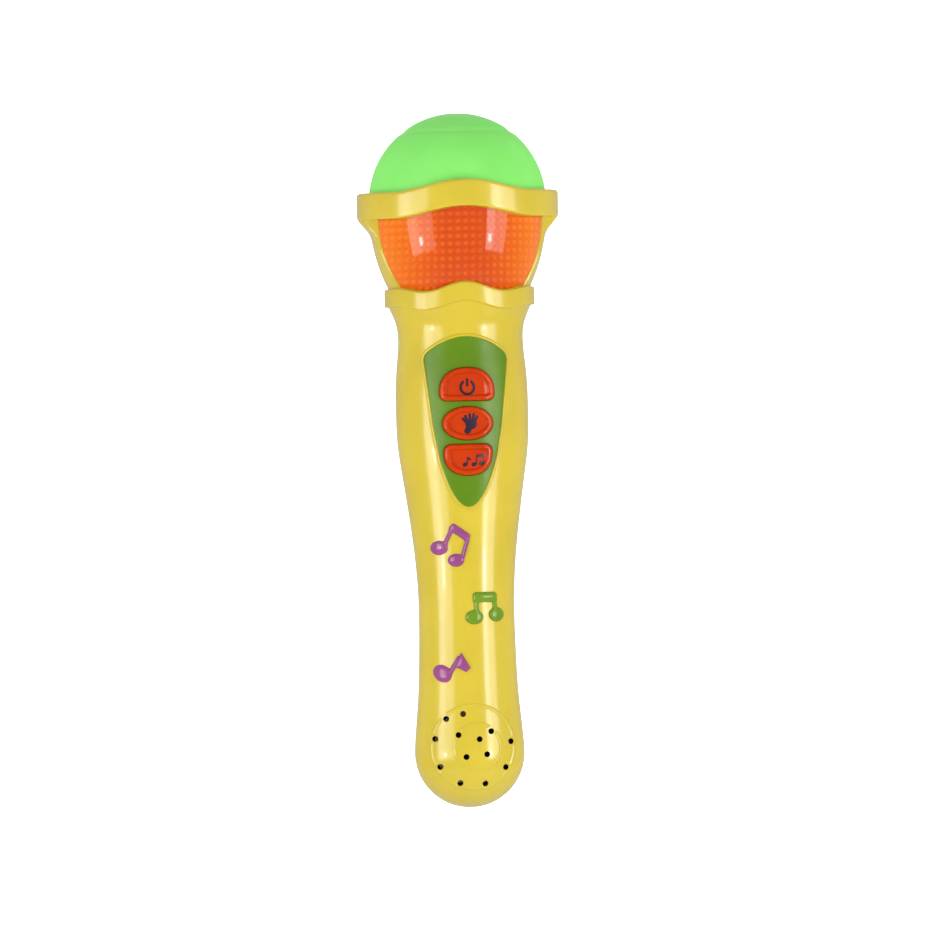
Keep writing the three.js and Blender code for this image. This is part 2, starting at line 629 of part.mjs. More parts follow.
class Coil extends THREE.Curve {
  getPoint(t, target = new THREE.Vector3()) {
    const angle = t * SPRING.turns * 2 * Math.PI;
    const radius = SPRING.radius * (1 - 0.35 * t);
    return target.set(radius * Math.cos(angle), radius * Math.sin(angle), t * SPRING.height);
  }
}

function roundSection(radius, sides) {
  const shape = new THREE.Shape();
  shape.absarc(0, 0, radius, 0, Math.PI * 2);
  return new THREE.Shape(shape.getPoints(sides).slice(0, sides));
}

function tube(curve, radius, steps, sides = 5) {
  const options = { extrudePath: curve, steps, bevelEnabled: false, curveSegments: 1 };
  return solid(new THREE.ExtrudeGeometry(roundSection(radius, sides), options));
}

function coil() {
  return geometryOf(tube(new Coil(), SPRING.wire, SPRING.turns * 7, 4));
}

const lowSpring = lowContact + CONTACT.thickness + SPRING.wire + GAP;
const highSpring = highContact - SPRING.wire - GAP;
add("battery_spring_1", coil().translate(-CELL.x, CELL.y, lowSpring), "steel");
add("battery_spring_2", coil().rotateX(Math.PI).translate(CELL.x, CELL.y, highSpring), "steel");

// The door screw's head sits in a counterbore this far from the axis
const doorHead = handleRadius(DOOR.screwZ) - 0.6;

function batteryDoor() {
  const plate = doorPrism(0, 4, FAR).intersect(skin(0, -DOOR.thickness, 80, 150));
  const grip = [0, 1, 2].map((row) => block(-4, 4, 12, FAR, 132.6 + row * 2.2, 133.4 + row * 2.2));
  const ridges = joined(grip).intersect(skin(0.5, -0.5, 120, 145));
  const hole = barY(1.5, 4, FAR, 0, DOOR.screwZ);
  const head = barY(2.7, doorHead, FAR, 0, DOOR.screwZ);
  return plate.add(ridges).subtract(hole).subtract(head);
}

add("battery_door", batteryDoor(), "yellow");
placeScrew("door_screw", screw(2.2, 1, 0.9, 7.4), 0, DOOR.screwZ, doorHead + GAP - 7.4);

// --- Lights in the head ---

function onLedCircle(shape, angle) {
  return shape.translate(LED.circle * Math.sin(turn(angle)), -LED.circle * Math.cos(turn(angle)), 0);
}

function ledPlate() {
  const [low, high] = [SHELF.height + GAP, SHELF.height + GAP + LED_PLATE.thickness];
  const [under, over, bore] = [low - 1, high + 1, LED.radius + GAP];
  const plate = solid(turned([[0, low], [LED_PLATE.radius, low], [LED_PLATE.radius, high], [0, high]], 20));
  const holes = LEDS.map(({ angle }) => (
    solid(onLedCircle(turned([[0, under], [bore, under], [bore, over], [0, over]], 10), angle))
  ));
  return plate.subtract(joined(holes));
}

add("led_plate", ledPlate(), "white");
for (const { name, angle } of LEDS) {
  const base = SHELF.height - 0.9;
  const crown = base + LED.height;
  const shape = turned([
    [0, base], [LED.base, base], [LED.base, base + 0.9], [LED.radius, base + 0.9],
    [LED.radius, crown - LED.radius], [LED.radius * 0.75, crown - 0.9], [0, crown],
  ], 10);
  add(`led_${name}`, onLedCircle(shape, angle), "led");
}

// --- Wires ---

function wire(name, points, colour, steps = 12) {
  const curve = new THREE.CatmullRomCurve3(points.map(([x, y, z]) => new THREE.Vector3(x, y, z)));
  add(name, tube(curve, WIRE_RADIUS, steps), colour);
}

for (const [side, colour] of [[-1, "red"], [1, "black"]]) {
  wire(`speaker_wire_${colour}`, [
    [side * 5, -2.6, 26], [side * 8.4, -1.8, 36], [side * 8.6, -2, 60], [side * 8, -4, 80],
    [side * 5.6, -7.4, 90], [side * 5.4, -7.4, 96],
  ], colour, 16);
  wire(`battery_wire_${colour}`, [
    [side * 5, 2.4, 143.2], [side * 5.4, -1, 144], [side * 6, -4.8, 142], [side * 6, -7.3, 137],
    [side * 6, -7.3, 133],
  ], colour);
  wire(`led_wire_${colour}`, [
    [side * 2.5, -7.3, 131], [side * 2.8, -7, 138], [side * 3.2, -5.6, 144], [side * 2, -6.6, 148.6],
    [side * 1.3, -8, 151.6],
  ], colour);
}

export default microphone;
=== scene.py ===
"""The toy microphone's looks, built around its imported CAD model.

Lengths are millimetres until a mesh is made. +Z runs up the axis and the front faces -Y.
"""

import math

import bmesh
import bpy
import numpy as np
from mathutils import Matrix, Vector


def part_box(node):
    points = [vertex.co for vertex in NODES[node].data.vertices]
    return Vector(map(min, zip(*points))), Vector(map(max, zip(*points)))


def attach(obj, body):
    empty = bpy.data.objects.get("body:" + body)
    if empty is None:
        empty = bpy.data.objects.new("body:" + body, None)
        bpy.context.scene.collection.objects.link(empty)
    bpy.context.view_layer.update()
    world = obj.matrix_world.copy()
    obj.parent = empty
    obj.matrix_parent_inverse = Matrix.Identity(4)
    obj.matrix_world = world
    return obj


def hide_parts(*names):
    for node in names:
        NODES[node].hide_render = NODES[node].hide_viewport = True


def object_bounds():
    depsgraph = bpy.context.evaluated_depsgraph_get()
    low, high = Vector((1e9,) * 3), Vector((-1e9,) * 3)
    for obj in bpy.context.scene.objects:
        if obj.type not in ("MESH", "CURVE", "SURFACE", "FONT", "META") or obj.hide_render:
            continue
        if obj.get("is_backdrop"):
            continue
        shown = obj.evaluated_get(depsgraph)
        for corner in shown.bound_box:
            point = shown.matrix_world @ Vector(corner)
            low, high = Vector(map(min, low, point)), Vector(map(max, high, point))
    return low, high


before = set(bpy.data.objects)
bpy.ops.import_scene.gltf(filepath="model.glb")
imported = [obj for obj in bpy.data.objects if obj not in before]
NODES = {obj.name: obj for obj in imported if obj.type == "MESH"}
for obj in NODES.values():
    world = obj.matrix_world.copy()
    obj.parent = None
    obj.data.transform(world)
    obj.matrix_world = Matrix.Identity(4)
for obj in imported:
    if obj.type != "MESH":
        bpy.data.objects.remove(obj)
CAD_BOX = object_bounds()
MM = 0.001

# Driving sizes of the casing, as in the CAD model
HEIGHT = 210
END_RADIUS = 16.6
HANDLE_SIDE = [
    (16.6, 16.6), (20, 16.45), (33, 15.3), (48, 14.65), (64, 14.55), (81.5, 15.9), (101, 18.6),
    (110, 19.75), (120, 20.05), (132, 19.65), (141, 18.9), (147, 19.6), (151.4, 21.5),
]
WALL = 2
SPLIT = 0.15
COLLAR_RADIUS, COLLAR_BOTTOM, COLLAR_TOP = 22.7, 151.6, 157
BOWL_RADIUS, BOWL_CENTRE, BOWL_REACH = 27, 182, 41
BOWL_LOW, BOWL_HIGH = 157.8, 171.4
RING_RADIUS, RING_LOW, RING_EDGE, RING_TOP = 30.5, 173.6, 178.4, 186.2
RING_BORE = 27.1
DOME_RADIUS, DOME_WALL = 26.8, 1.6
DOME_CENTRE = HEIGHT - DOME_RADIUS
LIP_BOTTOM, LIP_TOP, LIP_RADIUS = 183.3, 184.5, 28.2
WINDOW_BOTTOM, WINDOW_TOP = 157.3, 178
WINDOW_NARROW, WINDOW_WIDE, WINDOW_BULGE = 61, 71, 3.8
FAR = 60


# --- Curves and surfaces -----------------------------------------------------------------------


def spline(knots):
    """A smooth curve through (x, y) knots that starts level, as a function of x."""
    x, y = np.array(knots, float).T
    h = np.diff(x)
    rows = np.zeros((len(x), len(x)))
    right = np.zeros(len(x))
    rows[0, 0] = 1
    for i in range(1, len(x) - 1):
        rows[i, i - 1 : i + 2] = 1 / h[i - 1], 2 / h[i - 1] + 2 / h[i], 1 / h[i]
        right[i] = 3 * ((y[i] - y[i - 1]) / h[i - 1] ** 2 + (y[i + 1] - y[i]) / h[i] ** 2)
    rows[-1, -2:] = 1 / h[-1], 2 / h[-1]
    right[-1] = 3 * (y[-1] - y[-2]) / h[-1] ** 2
    slope = np.linalg.solve(rows, right)

    def curve(at):
        at = np.clip(at, x[0], x[-1])
        i = np.clip(np.searchsorted(x, at) - 1, 0, len(x) - 2)
        s = (at - x[i]) / h[i]
        return (
            (2 * s**3 - 3 * s**2 + 1) * y[i]
            + (s**3 - 2 * s**2 + s) * h[i] * slope[i]
            + (3 * s**2 - 2 * s**3) * y[i + 1]
            + (s**3 - s**2) * h[i] * slope[i + 1]
        )

    return curve


side_radius = spline(HANDLE_SIDE)


def handle_radius(z):
    ball = np.sqrt(np.maximum(END_RADIUS**2 - (END_RADIUS - z) ** 2, 0.01))
    return np.where(z < END_RADIUS, ball, side_radius(z))


def bowl_radius(z):
    return BOWL_RADIUS * np.sqrt(1 - ((BOWL_CENTRE - z) / BOWL_REACH) ** 2)


def bowl_skin(offset):
    """A window block's face that follows the bowl, by an offset."""
    return lambda degrees, z: bowl_radius(np.minimum(z, BOWL_CENTRE)) + offset


def level(radius):
    """A window block's face at one radius all over."""
    return lambda degrees, z: np.full_like(z, radius)


def smooth(x, low, high):
    t = np.clip((x - low) / (high - low), 0, 1)
    return t * t * (3 - 2 * t)


def from_middle(degrees):
    """Degrees from the nearer of the front and the back."""
    turn = np.abs((np.asarray(degrees) + 180) % 360 - 180)
    return np.where(turn > 90, 180 - turn, turn)


def ring_wave(degrees):
    reach = np.minimum(from_middle(degrees) / 46, 1)
    return 3.4 * np.cos(reach * np.pi / 2) ** 2


def collar_wave(degrees):
    angle = from_middle(degrees)
    return 1.75 * np.cos(np.pi * angle / 37) * np.exp(-((angle / 48) ** 2))


def outer_rise(degrees, z):
    """How far the casing's outer surface is lifted by the waves in its edges."""
    ring = ring_wave(degrees) * smooth(z, RING_LOW, RING_EDGE)
    low = smooth(z, COLLAR_BOTTOM - 3.6, COLLAR_BOTTOM - 0.8) * 0.97
    high = smooth(z, COLLAR_BOTTOM + 1, COLLAR_TOP) * 0.03
    fade = 1 - smooth(z, COLLAR_TOP + 2.4, COLLAR_TOP + 8)
    return np.where(z > RING_LOW - 0.1, ring, collar_wave(degrees) * (low + high) * fade)


def bezier(*controls, count=24):
    """Points along a Bezier curve, without its last point."""
    points = [np.array(c, float)[None, :] for c in controls]
    t = np.arange(count)[:, None] / count
    while len(points) > 1:
        points = [a * (1 - t) + b * t for a, b in zip(points, points[1:])]
    return points[0]


def filleted(corners, count=7):
    """A line through (r, z, round) corners, each rounded."""
    points = [np.array(c[:2], float) for c in corners]
    line = [points[0]]
    for before, here, after, (_, _, size) in zip(points, points[1:], points[2:], corners[1:]):
        into, out = before - here, after - here
        start = here + into / np.linalg.norm(into) * size
        end = here + out / np.linalg.norm(out) * size
        for t in np.linspace(0, 1, count):
            line.append(start * (1 - t) ** 2 + here * 2 * t * (1 - t) + end * t**2)
    return np.array(line + [points[-1]])


# --- Meshes ------------------------------------------------------------------------------------


def add_object(name, data):
    obj = bpy.data.objects.new(name, data)
    bpy.context.scene.collection.objects.link(obj)
    return obj


def mesh_object(name, points, faces, sharp=35):
    """A closed mesh from points in millimetres, its normals out, smooth where it bends gently."""
    mesh = bpy.data.meshes.new(name)
    mesh.from_pydata((np.asarray(points, float) * MM).tolist(), [], faces)
    work = bmesh.new()
    work.from_mesh(mesh)
    bmesh.ops.remove_doubles(work, verts=work.verts, dist=1e-7)
    bmesh.ops.dissolve_degenerate(work, edges=work.edges, dist=1e-8)
    bmesh.ops.recalc_face_normals(work, faces=work.faces)
    work.to_mesh(mesh)
    work.free()
    obj = add_object(name, mesh)
    shade(obj, sharp)
    return obj


def shade(obj, sharp=35):
    mesh = obj.data
    mesh.polygons.foreach_set("use_smooth", np.ones(len(mesh.polygons), bool))
    mesh.set_sharp_from_angle(angle=math.radians(sharp))


def combine(target, *tools, how="DIFFERENCE"):
    """Cuts the tools out of the target, or joins them on, and removes them."""
    for tool in tools:
        change = target.modifiers.new("combine", "BOOLEAN")
        change.object = tool
        change.operation = how
        change.solver = "MANIFOLD"
        with bpy.context.temp_override(object=target, active_object=target):
            bpy.ops.object.modifier_apply(modifier=change.name)
        bpy.data.objects.remove(tool)
    return target


def box_solid(low, high):
    low, high = np.array(low, float), np.array(high, float)
    corners = [(i, j, k) for i in (0, 1) for j in (0, 1) for k in (0, 1)]
    points = [low + (high - low) * np.array(c) for c in corners]
    faces = [(0, 1, 3, 2), (4, 6, 7, 5), (0, 4, 5, 1), (2, 3, 7, 6), (0, 2, 6, 4), (1, 5, 7, 3)]
    return mesh_object("tool", points, faces)


def bars(places, radius, y_low, y_high, count=28):
    """Round bars along Y at (x, z) places, as one object."""
    turn = np.arange(count) * 2 * np.pi / count
    points, faces = [], []
    for x, z in places:
        base = len(points)
        for y in (y_low, y_high):
            points += [(x + radius * math.cos(a), y, z + radius * math.sin(a)) for a in turn]
        for i in range(count):
            j = (i + 1) % count
            faces.append((base + i, base + j, base + count + j, base + count + i))
        faces.append(tuple(range(base, base + count)))
        faces.append(tuple(range(base + count, base + 2 * count)))
    return mesh_object("tool", points, faces)


def revolved(name, profile, count, lift=None, sharp=35):
    """A closed profile of (r, z) points turned about Z. lift(degrees, r, z) moves its points."""
    profile = np.array(profile, float)
    degrees = np.arange(count) * 360 / count
    angle = np.radians(degrees)[:, None]
    r = np.repeat(profile[None, :, 0], count, 0)
    z = np.repeat(profile[None, :, 1], count, 0)
    if lift is not None:
        r, z = lift(degrees[:, None], r, z)
    points = np.stack([r * np.sin(angle), -r * np.cos(angle), z], -1).reshape(-1, 3)
    rows = len(profile)
    i, j = np.meshgrid(np.arange(count), np.arange(rows), indexing="ij")
    at = lambda a, b: (a % count) * rows + b % rows
    quads = np.stack([at(i, j), at(i + 1, j), at(i + 1, j + 1), at(i, j + 1)], -1)
    if profile[0, 0] < 1e-9 and profile[-1, 0] < 1e-9:
        quads = quads[:, :-1]
    return mesh_object(name, points, quads.reshape(-1, 4).tolist(), sharp)


def lattice(name, place, counts, sharp=35):
    """The skin of a block of cells, whose corners go where place(u, v, w) says, each from 0 to 1."""
    points, faces, base = [], [], 0
    for axis in range(3):
        first, second = [a for a in range(3) if a != axis]
        p, q = np.meshgrid(
            np.linspace(0, 1, counts[first] + 1), np.linspace(0, 1, counts[second] + 1), indexing="ij"
        )
        i, j = np.meshgrid(np.arange(counts[first]), np.arange(counts[second]), indexing="ij")
        width = counts[second] + 1
        for end in (0.0, 1.0):
            uvw = [None, None, None]
            uvw[axis], uvw[first], uvw[second] = np.full_like(p, end), p, q
            points.append(np.stack(place(*uvw), -1).reshape(-1, 3))
            corner = base + i * width + j
            quads = np.stack([corner, corner + width, corner + width + 1, corner + 1], -1)
            faces += quads.reshape(-1, 4).tolist()
            base += p.size
    return mesh_object(name, np.concatenate(points), faces, sharp)


def patch(name, distance, window, top, bottom, step=0.2, facing=-1, sharp=35):
    """A closed piece on the handle, wherever distance(x, z) is negative.

    top and bottom turn x, z and the depth inside the outline into offsets from the handle's surface.
    """
    x_low, x_high, z_low, z_high = window
    x, z = np.meshgrid(
        np.arange(x_low, x_high + step, step), np.arange(z_low, z_high + step, step), indexing="ij"
    )
    d = distance(x, z)
    for _ in range(2):  # points near the outline are pulled onto it
        near = np.abs(d) < 0.62 * step
        u, v = x[near], z[near]
        slope_x = (distance(u + 0.02, v) - distance(u - 0.02, v)) / 0.04
        slope_z = (distance(u, v + 0.02) - distance(u, v - 0.02)) / 0.04
        pull = d[near] / np.maximum(slope_x**2 + slope_z**2, 0.2)
        x[near], z[near] = u - pull * slope_x, v - pull * slope_z
        d[near] = distance(x[near], z[near])
    inside = d < 0.12 * step
    depth = np.maximum(-d, 0)
    number = np.arange(x.size).reshape(x.shape)
    cells = [number[:-1, :-1], number[1:, :-1], number[1:, 1:], number[:-1, 1:]]
    corners = np.stack(cells, -1).reshape(-1, 4)
    held = inside.ravel()[corners]
    cut = held.sum(1) == 3
    faces = corners[held.all(1)].tolist() + [
        [c for c, ok in zip(corner, row) if ok]
        for corner, row in zip(corners[cut].tolist(), held[cut].tolist())
    ]
    edges = {}
    for face in faces:
        for a, b in zip(face, face[1:] + face[:1]):
            edges[(a, b)] = edges.get((a, b), 0) + 1
    rim = [(a, b) for a, b in edges if (b, a) not in edges]
    count = x.size
    layers = []
    for offset in (top, bottom):
        reach = handle_radius(z) + offset(x, z, depth)
        y = facing * np.sqrt(np.maximum(reach**2 - x**2, 0.01))
        layers.append(np.stack([x, y, z], -1).reshape(-1, 3))
    all_faces = faces + [[c + count for c in reversed(face)] for face in faces]
    all_faces += [[a, a + count, b + count, b] for a, b in rim]
    used = sorted({c for face in all_faces for c in face})
    index = {old: new for new, old in enumerate(used)}
    points = np.concatenate(layers)[used]
    return mesh_object(name, points, [[index[c] for c in face] for face in all_faces], sharp)


def flat(offset):
    """A patch's face at one offset all over."""
    return lambda x, z, depth: np.full_like(x, offset)


def rounded_top(height, edge):
    """A patch's top that falls away over its edge."""
    return lambda x, z, depth: height - edge + edge * np.sqrt(
        np.maximum(1 - (1 - np.clip(depth / edge, 0, 1)) ** 2, 0)
    )


# --- Outlines ----------------------------------------------------------------------------------


def inside_outline(points):
    """The distance to a closed outline of (x, z) points, negative inside it."""
    a = np.asarray(points, float)
    b = np.roll(a, -1, axis=0)
    edge = b - a
    length = np.maximum((edge**2).sum(-1), 1e-12)

    def distance(x, z):
        px, pz = x[..., None] - a[:, 0], z[..., None] - a[:, 1]
        t = np.clip((px * edge[:, 0] + pz * edge[:, 1]) / length, 0, 1)
        nearest = np.sqrt(((px - t * edge[:, 0]) ** 2 + (pz - t * edge[:, 1]) ** 2).min(-1))
        spans = (a[:, 1] > z[..., None]) != (b[:, 1] > z[..., None])
        rise = np.where(np.abs(edge[:, 1]) < 1e-12, 1e-12, edge[:, 1])
        crosses = spans & (px < pz * edge[:, 0] / rise)
        return np.where(crosses.sum(-1) % 2 == 1, -nearest, nearest)

    return distance


def oval(x0, z0, half_x, half_z, tilt=0):
    cos, sin = math.cos(math.radians(tilt)), math.sin(math.radians(tilt))
    small = min(half_x, half_z)

    def distance(x, z):
        u = (x - x0) * cos + (z - z0) * sin
        v = (z - z0) * cos - (x - x0) * sin
        return (np.hypot(u / half_x, v / half_z) - 1) * small

    return distance


def past_sides(du, dv, corner):
    """The distance to a rounded rectangle, from how far a point is past its straight sides."""
    du, dv = du + corner, dv + corner
    return np.hypot(np.maximum(du, 0), np.maximum(dv, 0)) + np.minimum(np.maximum(du, dv), 0) - corner


def strip(x0, z0, x1, z1, width, ends=0.3):
    """A bar between two points, its corners rounded by a share of its width."""
    along = np.array([x1 - x0, z1 - z0], float)
    length = np.linalg.norm(along)
    along /= length
    corner = width * ends

    def distance(x, z):
        u = (x - x0) * along[0] + (z - z0) * along[1] - length / 2
        v = (z - z0) * along[0] - (x - x0) * along[1]
        return past_sides(np.abs(u) - length / 2, np.abs(v) - width / 2, corner)

    return distance


def rounded_box(x_low, x_high, z_low, z_high, corner):
    middle = (z_low + z_high) / 2
    half_x, half_z = (x_high - x_low) / 2, (z_high - z_low) / 2
    centre = (x_low + x_high) / 2

    def distance(x, z):
        return past_sides(np.abs(x - centre) - half_x, np.abs(z - middle) - half_z, corner)

    return distance


def either(*shapes):
    return lambda x, z: np.minimum.reduce([shape(x, z) for shape in shapes])


def melded(*shapes, by=0.6):
    """Shapes joined with a fillet where they meet."""
    def distance(x, z):
        total = shapes[0](x, z)
        for shape in shapes[1:]:
            other = shape(x, z)
            blend = np.maximum(by - np.abs(total - other), 0) / by
            total = np.minimum(total, other) - blend**2 * by / 4
        return total

    return distance


def grown(shape, by):
    return lambda x, z: shape(x, z) - by


def without(shape, *holes):
    return lambda x, z: np.maximum.reduce([shape(x, z), *[-hole(x, z) for hole in holes]])


# --- Materials ---------------------------------------------------------------------------------


def linear(colour):
    """An sRGB colour of 0 to 255 as the linear colour that a shader takes."""
    share = np.array(colour, float) / 255
    value = np.where(share <= 0.04045, share / 12.92, ((share + 0.055) / 1.055) ** 2.4)
    return (*value.tolist(), 1)


class Material:
    """A node material: a Principled shader and short ways to wire its sockets."""

    def __init__(self, name, **sockets):
        self.made = bpy.data.materials.new(name)
        self.made.use_nodes = True
        self.nodes = self.made.node_tree.nodes
        self.links = self.made.node_tree.links
        self.shader = self.nodes["Principled BSDF"]
        self.fix(**sockets)
        self.place = self.nodes.new("ShaderNodeTexCoord").outputs["Object"]

    def fix(self, **sockets):
        """Gives sockets of the shader one value all over."""
        for socket, value in sockets.items():
            self.shader.inputs[socket.replace("_", " ")].default_value = value

    def node(self, kind, inputs=(), **settings):
        node = self.nodes.new(kind)
        for key, value in settings.items():
            setattr(node, key, value)
        for key, value in dict(inputs).items():
            if isinstance(value, bpy.types.NodeSocket):
                self.links.new(value, node.inputs[key])
            else:
                node.inputs[key].default_value = value
        return node

    def noise(self, scale, detail=3.0, roughness=0.5):
        inputs = {"Vector": self.place, "Scale": scale, "Detail": detail, "Roughness": roughness}
        return self.node("ShaderNodeTexNoise", inputs).outputs["Fac"]

    def ramp(self, value, *stops):
        """A colour ramp of (place, colour) stops."""
        ramp = self.node("ShaderNodeValToRGB", {"Fac": value})
        elements = ramp.color_ramp.elements
        while len(elements) < len(stops):
            elements.new(0.5)
        for element, (place, colour) in zip(elements, stops):
            element.position = place
            element.color = colour
        return ramp.outputs["Color"]

    def remap(self, value, low, high, start=0.3, end=0.7):
        inputs = {"Value": value, "From Min": start, "From Max": end, "To Min": low, "To Max": high}
        return self.node("ShaderNodeMapRange", inputs).outputs["Result"]

    def math(self, how, *values):
        return self.node("ShaderNodeMath", enumerate(values), operation=how).outputs["Value"]

    def set(self, **sockets):
        """Wires node outputs to sockets of the shader."""
        for socket, value in sockets.items():
            self.links.new(value, self.shader.inputs[socket.replace("_", " ")])
        return self

    def bump(self, height, depth, strength=1.0):
        inputs = {"Height": height, "Distance": depth, "Strength": strength}
        self.set(Normal=self.node("ShaderNodeBump", inputs).outputs["Normal"])
        return self


def moulded(name, light, dark, roughness, spread=0.05, grain=0.000012, **sockets):
    """A moulded plastic: colour that drifts between two close tones, uneven gloss and a fine skin."""
    made = Material(name, **sockets)
    drift = made.noise(55, 2.0)
    made.set(Base_Color=made.ramp(drift, (0.35, linear(dark)), (0.65, linear(light))))
    made.set(Roughness=made.remap(made.noise(240, 4.0), roughness - spread, roughness + spread))
    return made.bump(made.noise(900, 3.0), grain)


yellow = moulded("yellow_plastic", (217, 193, 50), (210, 186, 44), 0.22, 0.04, IOR=1.5)
dome_skin = moulded("dome_vinyl", (138, 232, 112), (130, 226, 104), 0.55, 0.05)
panel_green = moulded("panel_plastic", (98, 138, 14), (90, 130, 10), 0.3, 0.04)
button_orange = moulded("button_plastic", (208, 64, 0), (192, 50, 0), 0.2, 0.03)
note_purple = moulded("note_purple", (158, 76, 138), (144, 62, 124), 0.16)
note_green = moulded("note_green", (112, 150, 8), (98, 136, 6), 0.16)
print_navy = moulded("print_navy", (44, 16, 48), (34, 12, 40), 0.35)


STUD_PITCH = 2.27
STUD_SPREAD = 0.00017  # the studs close up towards the window's sides, by this times x squared


def lens_material():
    """Clear amber over a studded inner face, with painted light in its colour: stud tops painted brighter
    than the grooves between them, the window's sides painted brighter than its middle, and a painted amber
    glow.
    """
    made = Material("amber_lens", Roughness=0.3, IOR=1.5, Coat_Weight=0.6, Coat_Roughness=0.06)
    # Painted glow: the amber emission makes the lens shine though it is no lamp.
    made.fix(
        Specular_IOR_Level=0.05, Transmission_Weight=0.04, Emission_Color=linear((255, 90, 0)),
        Emission_Strength=0.12,
    )
    parts = made.node("ShaderNodeSeparateXYZ", {"Vector": made.place}).outputs
    square = made.math("MULTIPLY", parts["X"], parts["X"])
    spread = made.math("MULTIPLY_ADD", square, STUD_SPREAD / MM**2, 1.0)
    per_metre = math.pi / (STUD_PITCH * MM)
    across = made.math("MULTIPLY", made.math("MULTIPLY", parts["X"], spread), per_metre)
    up = made.math("MULTIPLY", parts["Z"], per_metre)
    waves = [made.math("ABSOLUTE", made.math("COSINE", wave)) for wave in (across, up)]
    # The stud pattern gives the real bump, and in the colour it also paints highlights on the stud tops and
    # shade in the grooves.
    studs = made.math("POWER", made.math("MULTIPLY", *waves), 1.4)
    # Painted light: the window's sides are painted brighter than its middle.
    sides = made.remap(made.math("ABSOLUTE", parts["X"]), 0.06, 0.56, 0.006, 0.021)
    uneven = made.remap(made.noise(90, 2.0), 0.16, 0.32)
    painted_stud_and_side_light = made.math("MULTIPLY_ADD", studs, uneven, sides)
    made.set(Base_Color=made.ramp(
        painted_stud_and_side_light, (0.0, linear((188, 56, 0))), (0.3, linear((212, 86, 0))), (0.85, linear((250, 138, 2)))
    ))
    return made.bump(studs, 0.0005, 0.7)


amber = lens_material()

# Painted glow: the green emission makes the dome shine though it is no lamp.
dome_skin.fix(
    Subsurface_Weight=0.5, Subsurface_Scale=0.004, Subsurface_Radius=(0.6, 1.0, 0.5),
    Emission_Strength=0.16, Emission_Color=linear((120, 235, 95)),
)
yellow.fix(Subsurface_Weight=0.08, Subsurface_Scale=0.002, Coat_Weight=0.3, Coat_Roughness=0.08)
button_orange.fix(
    Subsurface_Weight=0.15, Subsurface_Scale=0.001, Coat_Weight=0.45,
    Coat_Roughness=0.06, Specular_IOR_Level=0.0,
)
panel_green.fix(Specular_IOR_Level=0.3)


def finish_piece(piece, made, body="casing", nodes=()):
    """Gives a piece its material and its place in the model."""
    piece.data.materials.clear()
    piece.data.materials.append(made.made)
    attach(piece, body)
    if nodes:
        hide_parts(*nodes)
    return piece


# --- Casing ------------------------------------------------------------------------------------

CASING_COLUMNS = 288
NEAR_DOME = 28  # inside this radius the ring's edge follows the dome
CASE_SCREWS = [(0, 44), (0, 71), (-11.5, 147.5), (11.5, 147.5)]
DOOR_SCREW = (0, 86.4)
BOSS_RADIUS, SHANK_HOLE, HEAD_HOLE, DOOR_SCREW_HOLE = 3.2, 1.6, 2.6, 1.3
TONGUE_HALF, TONGUE_SIZE = 0.6, (0.967, 1, 0.996, 1)
GRILLE_HOLE = 0.9
PANEL_AREA = (-15, 15, 86, 146)
DOOR_AREA = (-14, 14, 80, 144)


def end_arc(radius, degrees):
    """Points round the handle's end at a radius, by degrees up from the lowest point."""
    return [(radius * math.sin(t), END_RADIUS - radius * math.cos(t)) for t in np.radians(degrees)]


def casing_profile():
    """The casing's outline, up its outside and down its inside, and where its outside ends."""
    ball = end_arc(END_RADIUS, np.arange(0, 90, 2))
    handle = [(float(side_radius(z)), z) for z in np.arange(END_RADIUS, 150.6, 0.5)]
    collar = filleted([
        (*handle[-1], 0), (21.45, COLLAR_BOTTOM - 0.2, 0.08), (COLLAR_RADIUS, COLLAR_BOTTOM, 0.3),
        (COLLAR_RADIUS, COLLAR_TOP, 0.6), (float(bowl_radius(COLLAR_TOP)) + 0.1, COLLAR_TOP, 0.2),
        (float(bowl_radius(BOWL_LOW)), BOWL_LOW, 0),
    ])
    bowl = [(float(bowl_radius(z)), z) for z in np.arange(158.2, BOWL_HIGH, 0.4)]
    ring = filleted([
        (float(bowl_radius(BOWL_HIGH)), BOWL_HIGH, 0),
        (float(bowl_radius(RING_LOW)) + 0.15, RING_LOW, 1.6),
        (RING_RADIUS, RING_EDGE, 1.0), (RING_RADIUS, RING_TOP, 1.1), (RING_BORE, RING_TOP, 0.35),
        (RING_BORE, 185.2, 0),
    ], count=9)
    outside = np.concatenate([ball, handle[1:-1], collar, bowl, ring])
    shelf = [(28.5, 184.8), (28.5, 183.0), (25, 183.0), (25, 178)]
    head = [(23.1, 167), (20.3, 159.6), (20.3, 153.4), (18.3, 153.4)]
    bore = [(float(side_radius(z)) - WALL, z) for z in np.arange(151, 17, -2.0)]
    base = end_arc(END_RADIUS - WALL, np.arange(90, -1, -7.5))
    return np.concatenate([outside, [(RING_BORE, 184.8)], shelf, head, bore, base]), len(outside)


def casing():
    """The whole closed casing, before it is halved."""
    profile, outside = casing_profile()
    rows = np.arange(len(profile))

    def lift(degrees, r, z):
        rise = np.where(rows < outside, outer_rise(degrees, z), 0)
        rise = rise * np.where((r < NEAR_DOME) & (z < RING_TOP - 0.5) & (z > RING_EDGE), 0.0, 1.0)
        raised = z + rise
        inner_lip = np.sqrt(np.maximum((DOME_RADIUS + 0.3) ** 2 - (raised - DOME_CENTRE) ** 2, 1))
        follows = (rows < outside) & (r < NEAR_DOME) & (z > RING_EDGE)
        return np.where(follows, np.minimum(r, inner_lip), r), raised

    return revolved("casing", profile, CASING_COLUMNS, lift)


